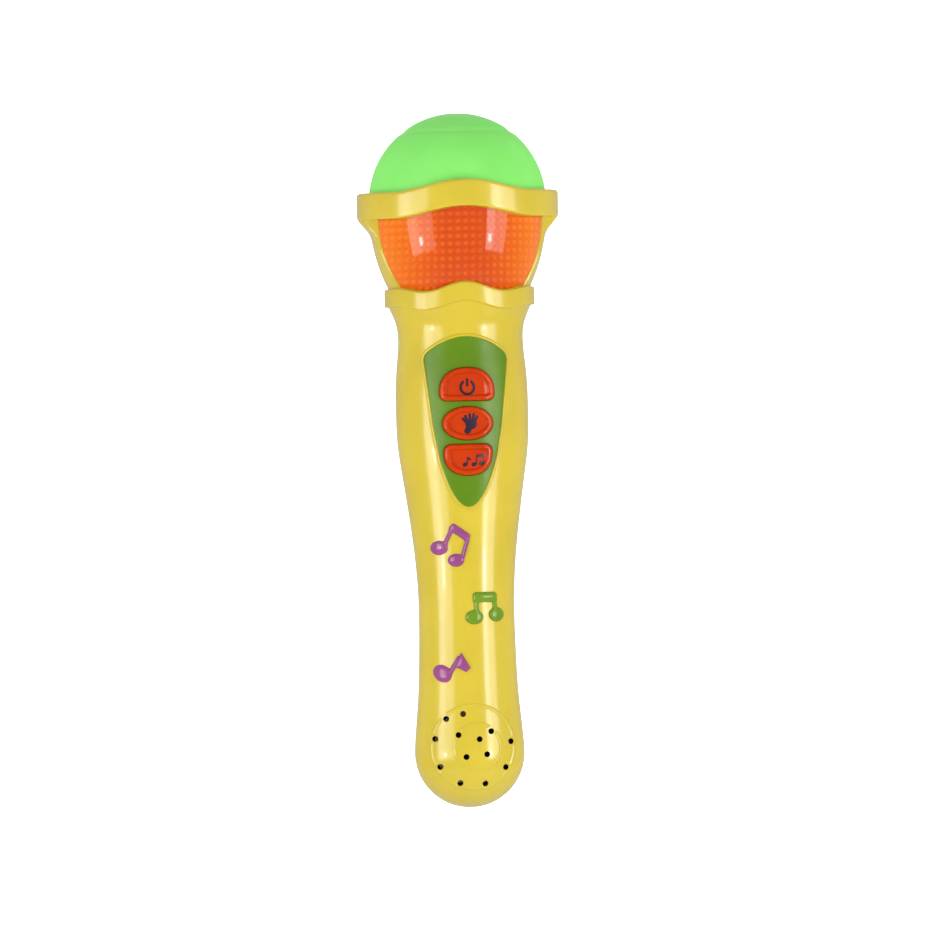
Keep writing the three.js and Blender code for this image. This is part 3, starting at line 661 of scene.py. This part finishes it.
def window_block(grow, radius_low, radius_high, flare, counts, name="tool"):
    """A block in the window's shape; flare widens it by degrees as it nears the outside."""

    def place(u, v, w):
        spread = flare(w)
        bulge = WINDOW_BULGE * 4 * v * (1 - v)
        half = WINDOW_NARROW + (WINDOW_WIDE - WINDOW_NARROW) * v + bulge + grow * 2.3 + spread
        degrees = (2 * u - 1) * half
        bevel = np.minimum(spread, 2) * 0.1
        low = WINDOW_BOTTOM + collar_wave(degrees) - grow - bevel
        high = WINDOW_TOP + ring_wave(degrees) + grow + bevel
        z = low + (high - low) * v
        r = radius_low(degrees, z) * (1 - w) + radius_high(degrees, z) * w
        a = np.radians(degrees)
        return r * np.sin(a), -r * np.cos(a), z

    return lattice(name, place, counts)


def panel_points():
    foot, waist, side, corner = (3.3, 93.1), (11.2, 123.8), (12.5, 135.2), (10.8, 138.3)
    tip, crest = 91, 142.3
    right = np.concatenate([
        bezier((0, tip), (foot[0] / 2, tip), foot), bezier(foot, (9, 100.5), waist),
        bezier(waist, side, count=4), bezier(side, (12.6, 136.9), corner),
        bezier(corner, (corner[0] / 2, crest), (0, crest)), [(0, crest)],
    ])
    left = right[1:-1][::-1] * (-1, 1)
    return np.concatenate([right, left])


panel_shape = inside_outline(panel_points())

BUTTONS = {
    "power": {"z": 127.9, "width": 16.6, "height": 10.0, "up": 1},
    "applause": {"z": 116.1, "width": 15.2, "height": 10.1, "up": 0},
    "music": {"z": 105.1, "width": 14.6, "height": 9.4, "up": -1},
}


def button_shape(z, width, height, up):
    """An ellipse where up is 0, or a D lying on its flat side, which faces away from up."""
    half_x, half_z = width / 2, height / 2
    if up == 0:
        turn = np.arange(120) * 2 * np.pi / 120
        return inside_outline(np.stack([half_x * np.cos(turn), z + half_z * np.sin(turn)], -1))
    corner = 2.6
    flat_side, round_side, cheek = z - up * half_z, z + up * half_z, z + up * half_z * 0.5
    right = np.concatenate([
        bezier((0, flat_side), (half_x - corner, flat_side), count=4),
        bezier((half_x - corner, flat_side), (half_x, flat_side), (half_x, flat_side + up * corner)),
        bezier(
            (half_x, flat_side + up * corner), (half_x, cheek), (half_x * 0.6, round_side), (0, round_side)
        ),
        [(0, round_side)],
    ])
    left = right[1:-1][::-1] * (-1, 1)
    return inside_outline(np.concatenate([right, left]))


button_shapes = {name: button_shape(**sizes) for name, sizes in BUTTONS.items()}

GRILLE_CENTRE = 18.5
GRILLE = [  # degrees clockwise from the top, distance from the centre
    (83, 11.6), (123, 11.6), (163, 11.6), (201, 11.6), (240, 11.6), (283, 11.6), (317, 11.8), (343, 10.5),
    (36, 2.9), (49, 7.1), (120, 4.5), (219, 3.8), (309, 5.9),
]
grille_holes = [
    (reach * math.sin(math.radians(turn)), GRILLE_CENTRE + reach * math.cos(math.radians(turn)))
    for turn, reach in GRILLE
]

door_shape = either(rounded_box(-12.8, 12.8, 90, 142, 3), rounded_box(-5, 5, 82.4, 94, 3))


def half_casing(name, y_low, y_high):
    """What of the casing lies between two places along Y."""
    half = casing()
    half.name = name
    return combine(half, box_solid((-FAR, y_low, -5), (FAR, y_high, HEIGHT + 5)), how="INTERSECT")


def seam_tongue():
    """The rear half's tongue, which closes the parting line from inside."""
    tongue = half_casing("tool", -TONGUE_HALF, TONGUE_HALF)
    middle = Matrix.Translation((0, 0, HEIGHT / 2 * MM))
    tongue.data.transform(middle @ Matrix.Diagonal(TONGUE_SIZE) @ middle.inverted())
    return tongue


def make_front_shell():
    shell = half_casing("front_casing", -FAR, -SPLIT)
    combine(
        shell,
        window_block(
            0, level(16.0), bowl_skin(0.2), lambda w: 1.3 * smooth(w, 0.93, 1.0), (150, 40, 40),
        ),
        window_block(
            0, bowl_skin(-0.5), level(40.0), lambda w: 0.4 + 36 * w, (150, 40, 6),
        ),
        patch("tool", grown(panel_shape, 0.12), PANEL_AREA, flat(6), flat(-1.4), step=0.3),
        *[
            patch("tool", grown(shape, 0.2), (-10, 10, 98, 136), flat(6), flat(-8), step=0.3)
            for shape in button_shapes.values()
        ],
        bars(grille_holes, GRILLE_HOLE, -FAR, -6),
    )
    shade(shell, 40)
    return finish_piece(shell, yellow, nodes=["front_shell"])


def make_rear_shell():
    shell = half_casing("rear_casing", SPLIT, FAR)
    ledge = patch(
        "tool", grown(door_shape, 1.5), (-16, 16, 78, 146), flat(-1), flat(-3.1), step=0.4, facing=1
    )
    core = [(0, 30)] + [(float(side_radius(z)) - 0.3, z) for z in np.arange(30, 151.5, 1.5)] + [(0, 151)]
    bosses = bars(CASE_SCREWS, BOSS_RADIUS, 0.5, FAR)
    combine(bosses, revolved("tool", core, 96), how="INTERSECT")
    combine(shell, ledge, bosses, seam_tongue(), how="UNION")
    opening = patch(
        "tool", rounded_box(-11.3, 11.3, 91.5, 140.5, 1), (-13, 13, 89, 143), flat(6), flat(-9),
        step=0.4, facing=1,
    )
    recess = patch(
        "tool", grown(door_shape, 0.3), DOOR_AREA, flat(6), flat(-2.1), step=0.3, facing=1
    )
    combine(
        shell, opening, recess, bars(CASE_SCREWS, SHANK_HOLE, -1, FAR),
        bars(CASE_SCREWS, HEAD_HOLE, 7, FAR), bars([DOOR_SCREW], DOOR_SCREW_HOLE, 6, FAR),
    )
    shade(shell, 40)
    return finish_piece(shell, yellow, nodes=["rear_shell"])


make_front_shell()
make_rear_shell()

rim = without(grown(panel_shape, 0.95), grown(panel_shape, -0.05))
finish_piece(
    patch(
        "panel_rim", rim, PANEL_AREA, lambda x, z, depth: 0.44 * smooth(depth, 0, 0.42) - 0.02,
        flat(-0.3), step=0.16,
    ),
    yellow,
)


GRILLE_OUTER, GRILLE_INNER = 12.7, 7.0
GRILLE_HALF_WIDTH, GRILLE_HOLE_MARGIN = 0.6, 1.3


def grille_ring_shape(x, z):
    """Two raised rings on the grille, open over its holes."""
    outer = np.abs(np.hypot(x, z - GRILLE_CENTRE) - GRILLE_OUTER)
    inner = np.abs(np.hypot(x - 1.2, z - GRILLE_CENTRE) - GRILLE_INNER)
    rings = np.minimum(outer, inner) - GRILLE_HALF_WIDTH
    holes = np.minimum.reduce([np.hypot(x - hx, z - hz) for hx, hz in grille_holes])
    return np.maximum(rings, GRILLE_HOLE_MARGIN - holes)


finish_piece(
    patch(
        "grille_rings", grille_ring_shape, (-15, 15, 3, 34),
        lambda x, z, depth: 0.24 * smooth(depth, 0, 0.55), flat(-0.3), step=0.2,
    ),
    yellow,
)

# --- Dome and lens -----------------------------------------------------------------------------


def make_dome():
    """The soft dome, with a shallow groove round its crown and a dimple at the top."""
    polar = np.concatenate([np.arange(0, 84, 0.9), [84.0, 87.0]])
    groove = 0.28 * np.exp(-(((polar - 37.5) / 2.6) ** 2))
    dimple = 0.45 * np.exp(-((polar / 3.2) ** 2))
    radius = DOME_RADIUS - groove - dimple
    angle = np.radians(polar)
    outer = np.stack([radius * np.sin(angle), DOME_CENTRE + radius * np.cos(angle)], -1)[::-1]
    inner_radius = DOME_RADIUS - DOME_WALL
    angle = np.radians(np.arange(0, 88, 4.0))
    inner = np.stack([inner_radius * np.sin(angle), DOME_CENTRE + inner_radius * np.cos(angle)], -1)
    lip = [
        (inner_radius, LIP_BOTTOM), (LIP_RADIUS, LIP_BOTTOM), (LIP_RADIUS, LIP_TOP), (DOME_RADIUS, LIP_TOP),
    ]
    dome = revolved("soft_dome", np.concatenate([inner, lip, outer]), 160)
    return finish_piece(dome, dome_skin, nodes=["dome"])


make_dome()


def make_lens():
    def inner(degrees, z):
        """The studded face, in step with the lens material's studs."""
        radius = bowl_skin(-1.7)(degrees, z)
        x = radius * np.sin(np.radians(degrees))
        across = x * (1 + STUD_SPREAD * x**2) / STUD_PITCH
        return radius - 0.6 * np.abs(np.cos(np.pi * across) * np.cos(np.pi * z / STUD_PITCH))

    lens = window_block(
        -0.06, inner, bowl_skin(-0.6), np.zeros_like, (300, 110, 2), "light_window",
    )
    shade(lens, 50)
    return finish_piece(lens, amber, nodes=["window_lens"])


make_lens()

# --- Control panel and buttons -----------------------------------------------------------------

apertures = [grown(shape, 0.15) for shape in button_shapes.values()]
finish_piece(
    patch(
        "green_panel", without(panel_shape, *apertures), PANEL_AREA,
        rounded_top(0.1, 0.06), flat(-1.1), step=0.22,
    ),
    panel_green, nodes=["control_panel"],
)


def dished(x, z, depth):
    """A button's top: a round shoulder, a raised rim and a dish inside it."""
    shoulder = 0.7 * (1 - np.sqrt(np.maximum(1 - (1 - np.clip(depth / 0.8, 0, 1)) ** 2, 0)))
    return 1.35 - shoulder - 0.9 * smooth(depth, 1.15, 2.0)


def on_dish(shape, lift):
    """An offset a little off a button's dished top."""
    return lambda x, z, depth: dished(x, z, np.maximum(-shape(x, z), 0)) + lift


def note_icon(x, z, size):
    return either(
        oval(x - 0.35 * size, z - 0.4 * size, 0.32 * size, 0.25 * size, 20),
        strip(x - 0.08 * size, z - 0.4 * size, x - 0.08 * size, z + 0.5 * size, 0.14 * size),
        strip(x - 0.08 * size, z + 0.46 * size, x + 0.34 * size, z + 0.1 * size, 0.2 * size),
    )


def pair_icon(x, z, size):
    return either(
        oval(x - 0.42 * size, z - 0.4 * size, 0.26 * size, 0.2 * size, 20),
        oval(x + 0.28 * size, z - 0.32 * size, 0.26 * size, 0.2 * size, 20),
        strip(x - 0.2 * size, z - 0.4 * size, x - 0.2 * size, z + 0.4 * size, 0.12 * size),
        strip(x + 0.5 * size, z - 0.32 * size, x + 0.5 * size, z + 0.5 * size, 0.12 * size),
        strip(x - 0.24 * size, z + 0.36 * size, x + 0.54 * size, z + 0.46 * size, 0.26 * size),
    )


def power_icon(x, z, size):
    circle = lambda px, pz: np.abs(np.hypot(px - x, pz - z) - 0.42 * size) - 0.08 * size
    opening = strip(x, z, x, z + size, 0.42 * size)
    stroke = strip(x, z + 0.05 * size, x, z + 0.58 * size, 0.15 * size, 0.5)
    return either(without(circle, opening), stroke)


def hand_icon(x, z):
    """An open hand, its wrist at the lower left."""
    bones = [
        (-0.6, 0.2, -1.8, 1.7, 0.75), (-0.3, 0.8, -0.9, 2.5, 0.8), (0.6, 0.9, 0.5, 3.0, 0.8),
        (1.5, 0.8, 1.8, 3.0, 0.8), (2.2, 0.5, 2.9, 2.4, 0.8), (0.5, -1.0, -0.7, -3.1, 1.9),
    ]
    fingers = [strip(x + a, z + b, x + c, z + d, width, 0.45) for a, b, c, d, width in bones]
    return either(oval(x + 0.9, z - 0.3, 1.75, 1.6), *fingers)


ICONS = {
    "power": power_icon(0, 126.9, 4.8),
    "applause": hand_icon(0, 116.1),
    "music": either(note_icon(-0.2, 104.7, 2.5), pair_icon(3.0, 105.0, 3.2)),
}

for name, shape in button_shapes.items():
    sizes = BUTTONS[name]
    reach_x, reach_z = sizes["width"] / 2 + 0.6, sizes["height"] / 2 + 0.6
    window = (-reach_x, reach_x, sizes["z"] - reach_z, sizes["z"] + reach_z)
    finish_piece(
        patch(f"{name}_cap", shape, window, dished, flat(-3.1), step=0.16),
        button_orange, f"{name}_key", [f"{name}_button"],
    )
    finish_piece(
        patch(f"{name}_symbol", ICONS[name], window, on_dish(shape, 0.05), on_dish(shape, -0.2), step=0.09),
        print_navy, f"{name}_key",
    )

# --- Raised notes ------------------------------------------------------------------------------

NOTES = {
    "purple_pair": (note_purple, [
        oval(-9.0, 78.7, 2.4, 2.1), oval(-4.1, 74.9, 2.3, 1.9), strip(-7.4, 79.6, -5.2, 84.6, 1.1),
        strip(-2.2, 75.6, -0.5, 81.4, 1.1), strip(-5.6, 85.2, -0.2, 81.4, 2.3),
    ]),
    "green_pair": (note_green, [
        oval(1.1, 57.6, 2.6, 2.1), oval(8.0, 58.3, 2.3, 2.1), strip(2.0, 58.4, 1.6, 64.6, 1.2),
        strip(7.7, 59, 7.4, 64.6, 1.2), strip(0.9, 63.6, 8.0, 63.6, 3.0),
    ]),
    "purple_single": (note_purple, [
        oval(-8.8, 40.8, 2.8, 2.3, -50), strip(-7.0, 40.4, -3.6, 45.8, 1.2),
        inside_outline([(-3.1, 46.9), (-0.5, 42.4), (-1.8, 41.2), (-4.9, 42.8)]),
    ]),
}


def raised(x, z, depth):
    """A note's top, round all over like a drop."""
    return 0.05 + 0.95 * np.sqrt(1 - (1 - np.clip(depth / 2, 0, 1)) ** 2)


for name, (made, parts) in NOTES.items():
    finish_piece(
        patch(
            f"note_{name}", grown(melded(*parts), 0.08), (-13, 12, 36, 88), raised, flat(-1.0), step=0.12,
        ),
        made,
    )

# --- Battery door and screws -------------------------------------------------------------------


def door_top(x, z, depth):
    edge = rounded_top(0.0, 0.25)(x, z, depth)
    ridges = np.maximum.reduce([smooth(0.7 - np.abs(z - 133 - 2.2 * row), 0, 0.5) for row in range(3)])
    grip = 0.5 * ridges * smooth(4.2 - np.abs(x), 0, 0.6)
    sink = smooth(2.75 - np.hypot(x - DOOR_SCREW[0], z - DOOR_SCREW[1]), 0, 0.15)
    return edge + grip - 0.9 * sink


finish_piece(
    combine(
        patch("battery_cover", door_shape, DOOR_AREA, door_top, flat(-1.8), step=0.2, facing=1),
        bars([DOOR_SCREW], 1.5, 0, FAR),
    ),
    yellow, "door", ["battery_door"],
)

steel = Material("plated_steel", Metallic=1.0)
plate = steel.ramp(steel.noise(700), (0.3, linear((150, 152, 156))), (0.7, linear((196, 198, 202))))
steel.set(Base_Color=plate)
steel.set(Roughness=steel.remap(steel.noise(1500), 0.22, 0.4)).bump(steel.noise(2600), 0.000008)

SLOT_HALF_WIDTH, SLOT_DEPTH = 0.24, 0.8


def fine_screw(node, body, sunk=0.0):
    """A cross-head screw along Y in a CAD screw's place, its head towards +Y and sunk a little."""
    low, high = (np.array(corner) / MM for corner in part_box(node))
    high[1] -= sunk
    head = (high[0] - low[0]) / 2 * 1.06
    shank = head * 0.5
    depth = head * 0.75
    length = high[1] - low[1]
    centre = (low + high) / 2
    profile = filleted([
        (0, 0, 0), (shank * 0.3, 0.2, 0.1), (shank, 1.6, 0.3), (shank, length - depth, 0.1),
        (head, length - depth, 0.15), (head, length - depth * 0.55, 0.5), (head * 0.55, length, 0.5),
        (0, length, 0),
    ])
    screw = revolved(f"fine_{node}", profile, 40)
    arms = [(head * 0.6, SLOT_HALF_WIDTH), (SLOT_HALF_WIDTH, head * 0.6)]
    combine(screw, *[box_solid((-a, -b, length - SLOT_DEPTH), (a, b, length + 1)) for a, b in arms])
    turn = Matrix.Rotation(-math.pi / 2, 4, "X")
    place = Matrix.Translation(Vector((centre[0], low[1], centre[2])) * MM)
    screw.data.transform(place @ turn)
    shade(screw)
    return finish_piece(screw, steel, body, [node])


for number in range(1, 5):
    fine_screw(f"case_screw_{number}", "casing")
fine_screw("door_screw", "door", 0.45)

# --- Materials of the inner parts --------------------------------------------------------------


def dress(made, *names):
    for name in names:
        NODES[name].data.materials.clear()
        NODES[name].data.materials.append(made.made)


dress(steel, "crystal", "board_screw_1", "board_screw_2", "contact_bridge", "contact_positive",
      "contact_negative", "battery_spring_1", "battery_spring_2", "speaker_frame")
dress(moulded("silicone", (206, 206, 200), (190, 190, 184), 0.6),
      "power_plunger", "applause_plunger", "music_plunger", "keypad_sheet")
dress(moulded("carbon", (38, 38, 40), (26, 26, 28), 0.7), "power_pill", "applause_pill", "music_pill")
dress(moulded("epoxy_black", (34, 34, 36), (20, 20, 22), 0.35), "sound_chip", "capacitor")
dress(moulded("cone_paper", (62, 58, 54), (44, 41, 38), 0.85, 0.05, 0.00006), "speaker_cone")
dress(moulded("ferrite", (74, 74, 78), (54, 54, 58), 0.55, 0.08, 0.00003), "speaker_magnet")
dress(moulded("white_plastic", (232, 229, 218), (222, 219, 208), 0.4), "battery_tray", "led_plate")
dress(moulded("wire_red", (196, 36, 28), (176, 28, 22), 0.45),
      "speaker_wire_red", "battery_wire_red", "led_wire_red")
dress(moulded("wire_black", (30, 30, 32), (20, 20, 22), 0.45),
      "speaker_wire_black", "battery_wire_black", "led_wire_black")
clear_epoxy = moulded("led_epoxy", (240, 240, 244), (228, 230, 236), 0.08, 0.03)
clear_epoxy.fix(Transmission_Weight=0.7)
dress(clear_epoxy, "led_red", "led_green", "led_blue")

board = Material("circuit_board", Roughness=0.35)
mask = board.node("ShaderNodeTexBrick", {
    "Vector": board.place, "Scale": 220.0, "Mortar Size": 0.03, "Color1": linear((20, 96, 48)),
    "Color2": linear((26, 108, 56)), "Mortar": linear((70, 150, 84)),
})
board.set(Base_Color=mask.outputs["Color"]).bump(mask.outputs["Fac"], 0.00003)
dress(board, "main_board")


def cell_material(name, node, plus_up):
    """A dry cell's printed jacket: a dark body, a copper band at the plus end and bare steel ends."""
    low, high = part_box(node)
    made = Material(name)
    height = made.node("ShaderNodeSeparateXYZ", {"Vector": made.place}).outputs["Z"]
    minus, plus = (0, 1) if plus_up else (1, 0)
    along = made.remap(height, minus, plus, low[2], high[2])
    bare, navy, copper = linear((190, 192, 196)), linear((30, 42, 110)), linear((196, 120, 60))
    metal, print_over_metal = (1, 1, 1, 1), (0.4, 0.4, 0.4, 1)
    made.set(Base_Color=made.ramp(
        along, (0, bare), (0.02, navy), (0.66, navy), (0.68, copper), (0.96, copper), (0.975, bare)
    ))
    made.set(Metallic=made.ramp(
        along, (0, metal), (0.02, print_over_metal), (0.955, print_over_metal), (0.975, metal)
    ))
    return made.set(Roughness=made.remap(made.noise(500), 0.22, 0.36))


CELL_NUB, CELL_NUB_RADIUS = 1, 1.9


def make_cell(name, node, plus_up):
    """A round dry cell in a CAD cell's place, with its rolled-in jacket, crimped ends and nub."""
    low, high = (np.array(corner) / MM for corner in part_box(node))
    radius = (high[0] - low[0]) / 2
    length = high[2] - low[2]
    body = length - CELL_NUB
    profile = filleted([
        (0, 0.25, 0), (radius - 1.5, 0.25, 0.2), (radius - 1.2, 0, 0.1), (radius, 0, 0.35),
        (radius, body, 0.35), (radius - 0.9, body, 0.15), (radius - 1.1, body - 0.3, 0.1),
        (CELL_NUB_RADIUS + 0.5, body - 0.3, 0.2), (CELL_NUB_RADIUS, body, 0.1),
        (CELL_NUB_RADIUS, length, 0.3), (0, length, 0),
    ])
    cell = revolved(name, profile, 72)
    turn = Matrix() if plus_up else Matrix.Rotation(math.pi, 4, "X")
    foot = low[2] if plus_up else high[2]
    middle = (low + high) / 2
    cell.data.transform(Matrix.Translation(Vector((middle[0], middle[1], foot)) * MM) @ turn)
    return finish_piece(cell, cell_material(f"{name}_jacket", node, plus_up), nodes=[node])


make_cell("dry_cell_up", "battery_1", True)
make_cell("dry_cell_down", "battery_2", False)

# --- Stage, light and camera -------------------------------------------------------------------

CENTRE = Vector((0, 0, HEIGHT / 2 * MM))
CAMERA_TURN = -4.9  # degrees; the front faces a little to the right of the camera
CAMERA_ROLL = -1.3
CAMERA_DISTANCE = 4.0
SENSOR_WIDTH = 36
FRAME_WIDTH = 0.2844  # metres across the picture at the object
AIM_RIGHT, AIM_DOWN = 0.0020, 0.0030


def around(degrees, distance, height):
    """A point at that turn from the front, as seen from above."""
    turn = math.radians(degrees)
    return Vector((math.sin(turn) * distance, -math.cos(turn) * distance, height))


def aim(obj, target, roll=0.0):
    look = (target - obj.location).to_track_quat("-Z", "Y")
    obj.rotation_euler = (look.to_matrix() @ Matrix.Rotation(math.radians(roll), 3, "Z")).to_euler()


camera = add_object("camera", bpy.data.cameras.new("camera"))
camera.data.sensor_width = SENSOR_WIDTH
camera.data.lens = SENSOR_WIDTH * CAMERA_DISTANCE / FRAME_WIDTH
camera.data.clip_end = 30
rightward = Vector((math.cos(math.radians(CAMERA_TURN)), math.sin(math.radians(CAMERA_TURN)), 0))
target = CENTRE + rightward * AIM_RIGHT - Vector((0, 0, AIM_DOWN))
camera.location = target + around(CAMERA_TURN, CAMERA_DISTANCE, 0)
aim(camera, target, CAMERA_ROLL)
bpy.context.scene.camera = camera


SOFTBOX_DISTANCE, GLINT_DISTANCE = 0.7, 0.66


def softbox(name, start, end, radiance, low=-0.13, high=0.3, distance=SOFTBOX_DISTANCE):
    """A softbox that spans those degrees to the camera's right and those heights."""
    width = 2 * distance * math.tan(math.radians(abs(end - start) / 2))
    tall, height = high - low, (high + low) / 2
    lamp = bpy.data.lights.new(name, "AREA")
    lamp.shape = "RECTANGLE"
    lamp.size, lamp.size_y = width, tall
    lamp.energy = radiance * math.pi * width * tall
    obj = add_object(name, lamp)
    obj.location = around(CAMERA_TURN + (start + end) / 2, distance, height)
    aim(obj, Vector((0, 0, height)))
    return obj


softbox("left_key", -70, -54, 5.0)
softbox("left_fill", -54, -33, 3.0)
softbox("right_key", 39, 50, 7.4)
softbox("right_fill", 50, 68, 4.0)
softbox("left_glint", -55, -50, 24.0, -0.055, 0.0, GLINT_DISTANCE)
softbox("right_glint", 42, 46.5, 24.0, -0.05, 0.005, GLINT_DISTANCE)

world = bpy.data.worlds.new("studio")
world.use_nodes = True
world.node_tree.nodes["Background"].inputs["Color"].default_value = (1, 1, 1, 1)
world.node_tree.nodes["Background"].inputs["Strength"].default_value = 0.54
bpy.context.scene.world = world
bpy.context.scene.view_settings.view_transform = "Standard"

FLOOR_HEIGHT, STAGE_REACH, STAGE_BACK = -350, 6000, 5200
STAGE_BEND = 500
BACKDROP_MIDDLE = 0.43  # metres; where the camera looks


def make_stage():
    """A pale floor that curves up into a backdrop."""
    bend = [
        (STAGE_BACK - STAGE_BEND * (1 - math.sin(t)), FLOOR_HEIGHT + STAGE_BEND * (1 - math.cos(t)))
        for t in np.radians(np.arange(0, 91, 5))
    ]
    line = [(-STAGE_REACH, FLOOR_HEIGHT), *bend, (STAGE_BACK, STAGE_REACH)]
    points = [(x, y, z) for y, z in line for x in (-STAGE_REACH, STAGE_REACH)]
    faces = [(2 * i, 2 * i + 1, 2 * i + 3, 2 * i + 2) for i in range(len(line) - 1)]
    mesh = bpy.data.meshes.new("floor")
    mesh.from_pydata([tuple(c * MM for c in p) for p in points], [], faces)
    floor = add_object("floor", mesh)
    shade(floor)
    pale = Material(
        "pale_floor", Roughness=0.9, Base_Color=(0.88, 0.88, 0.88, 1), Emission_Color=(1, 1, 1, 1)
    )
    place = pale.node("ShaderNodeSeparateXYZ", {"Vector": pale.place}).outputs
    behind = pale.remap(place["Y"], 0, 1, 4.4, 4.8)
    aside = pale.math("SUBTRACT", place["X"], BACKDROP_MIDDLE)
    near = pale.remap(pale.math("ABSOLUTE", aside), 1, 0, 0.42, 0.7)
    pale.set(Emission_Strength=pale.math("MULTIPLY", behind, near))
    mesh.materials.append(pale.made)
    floor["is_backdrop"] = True


make_stage()

boxes = {"cad": CAD_BOX, "visual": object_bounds()}
{name: [list(corner) for corner in box] for name, box in boxes.items()}
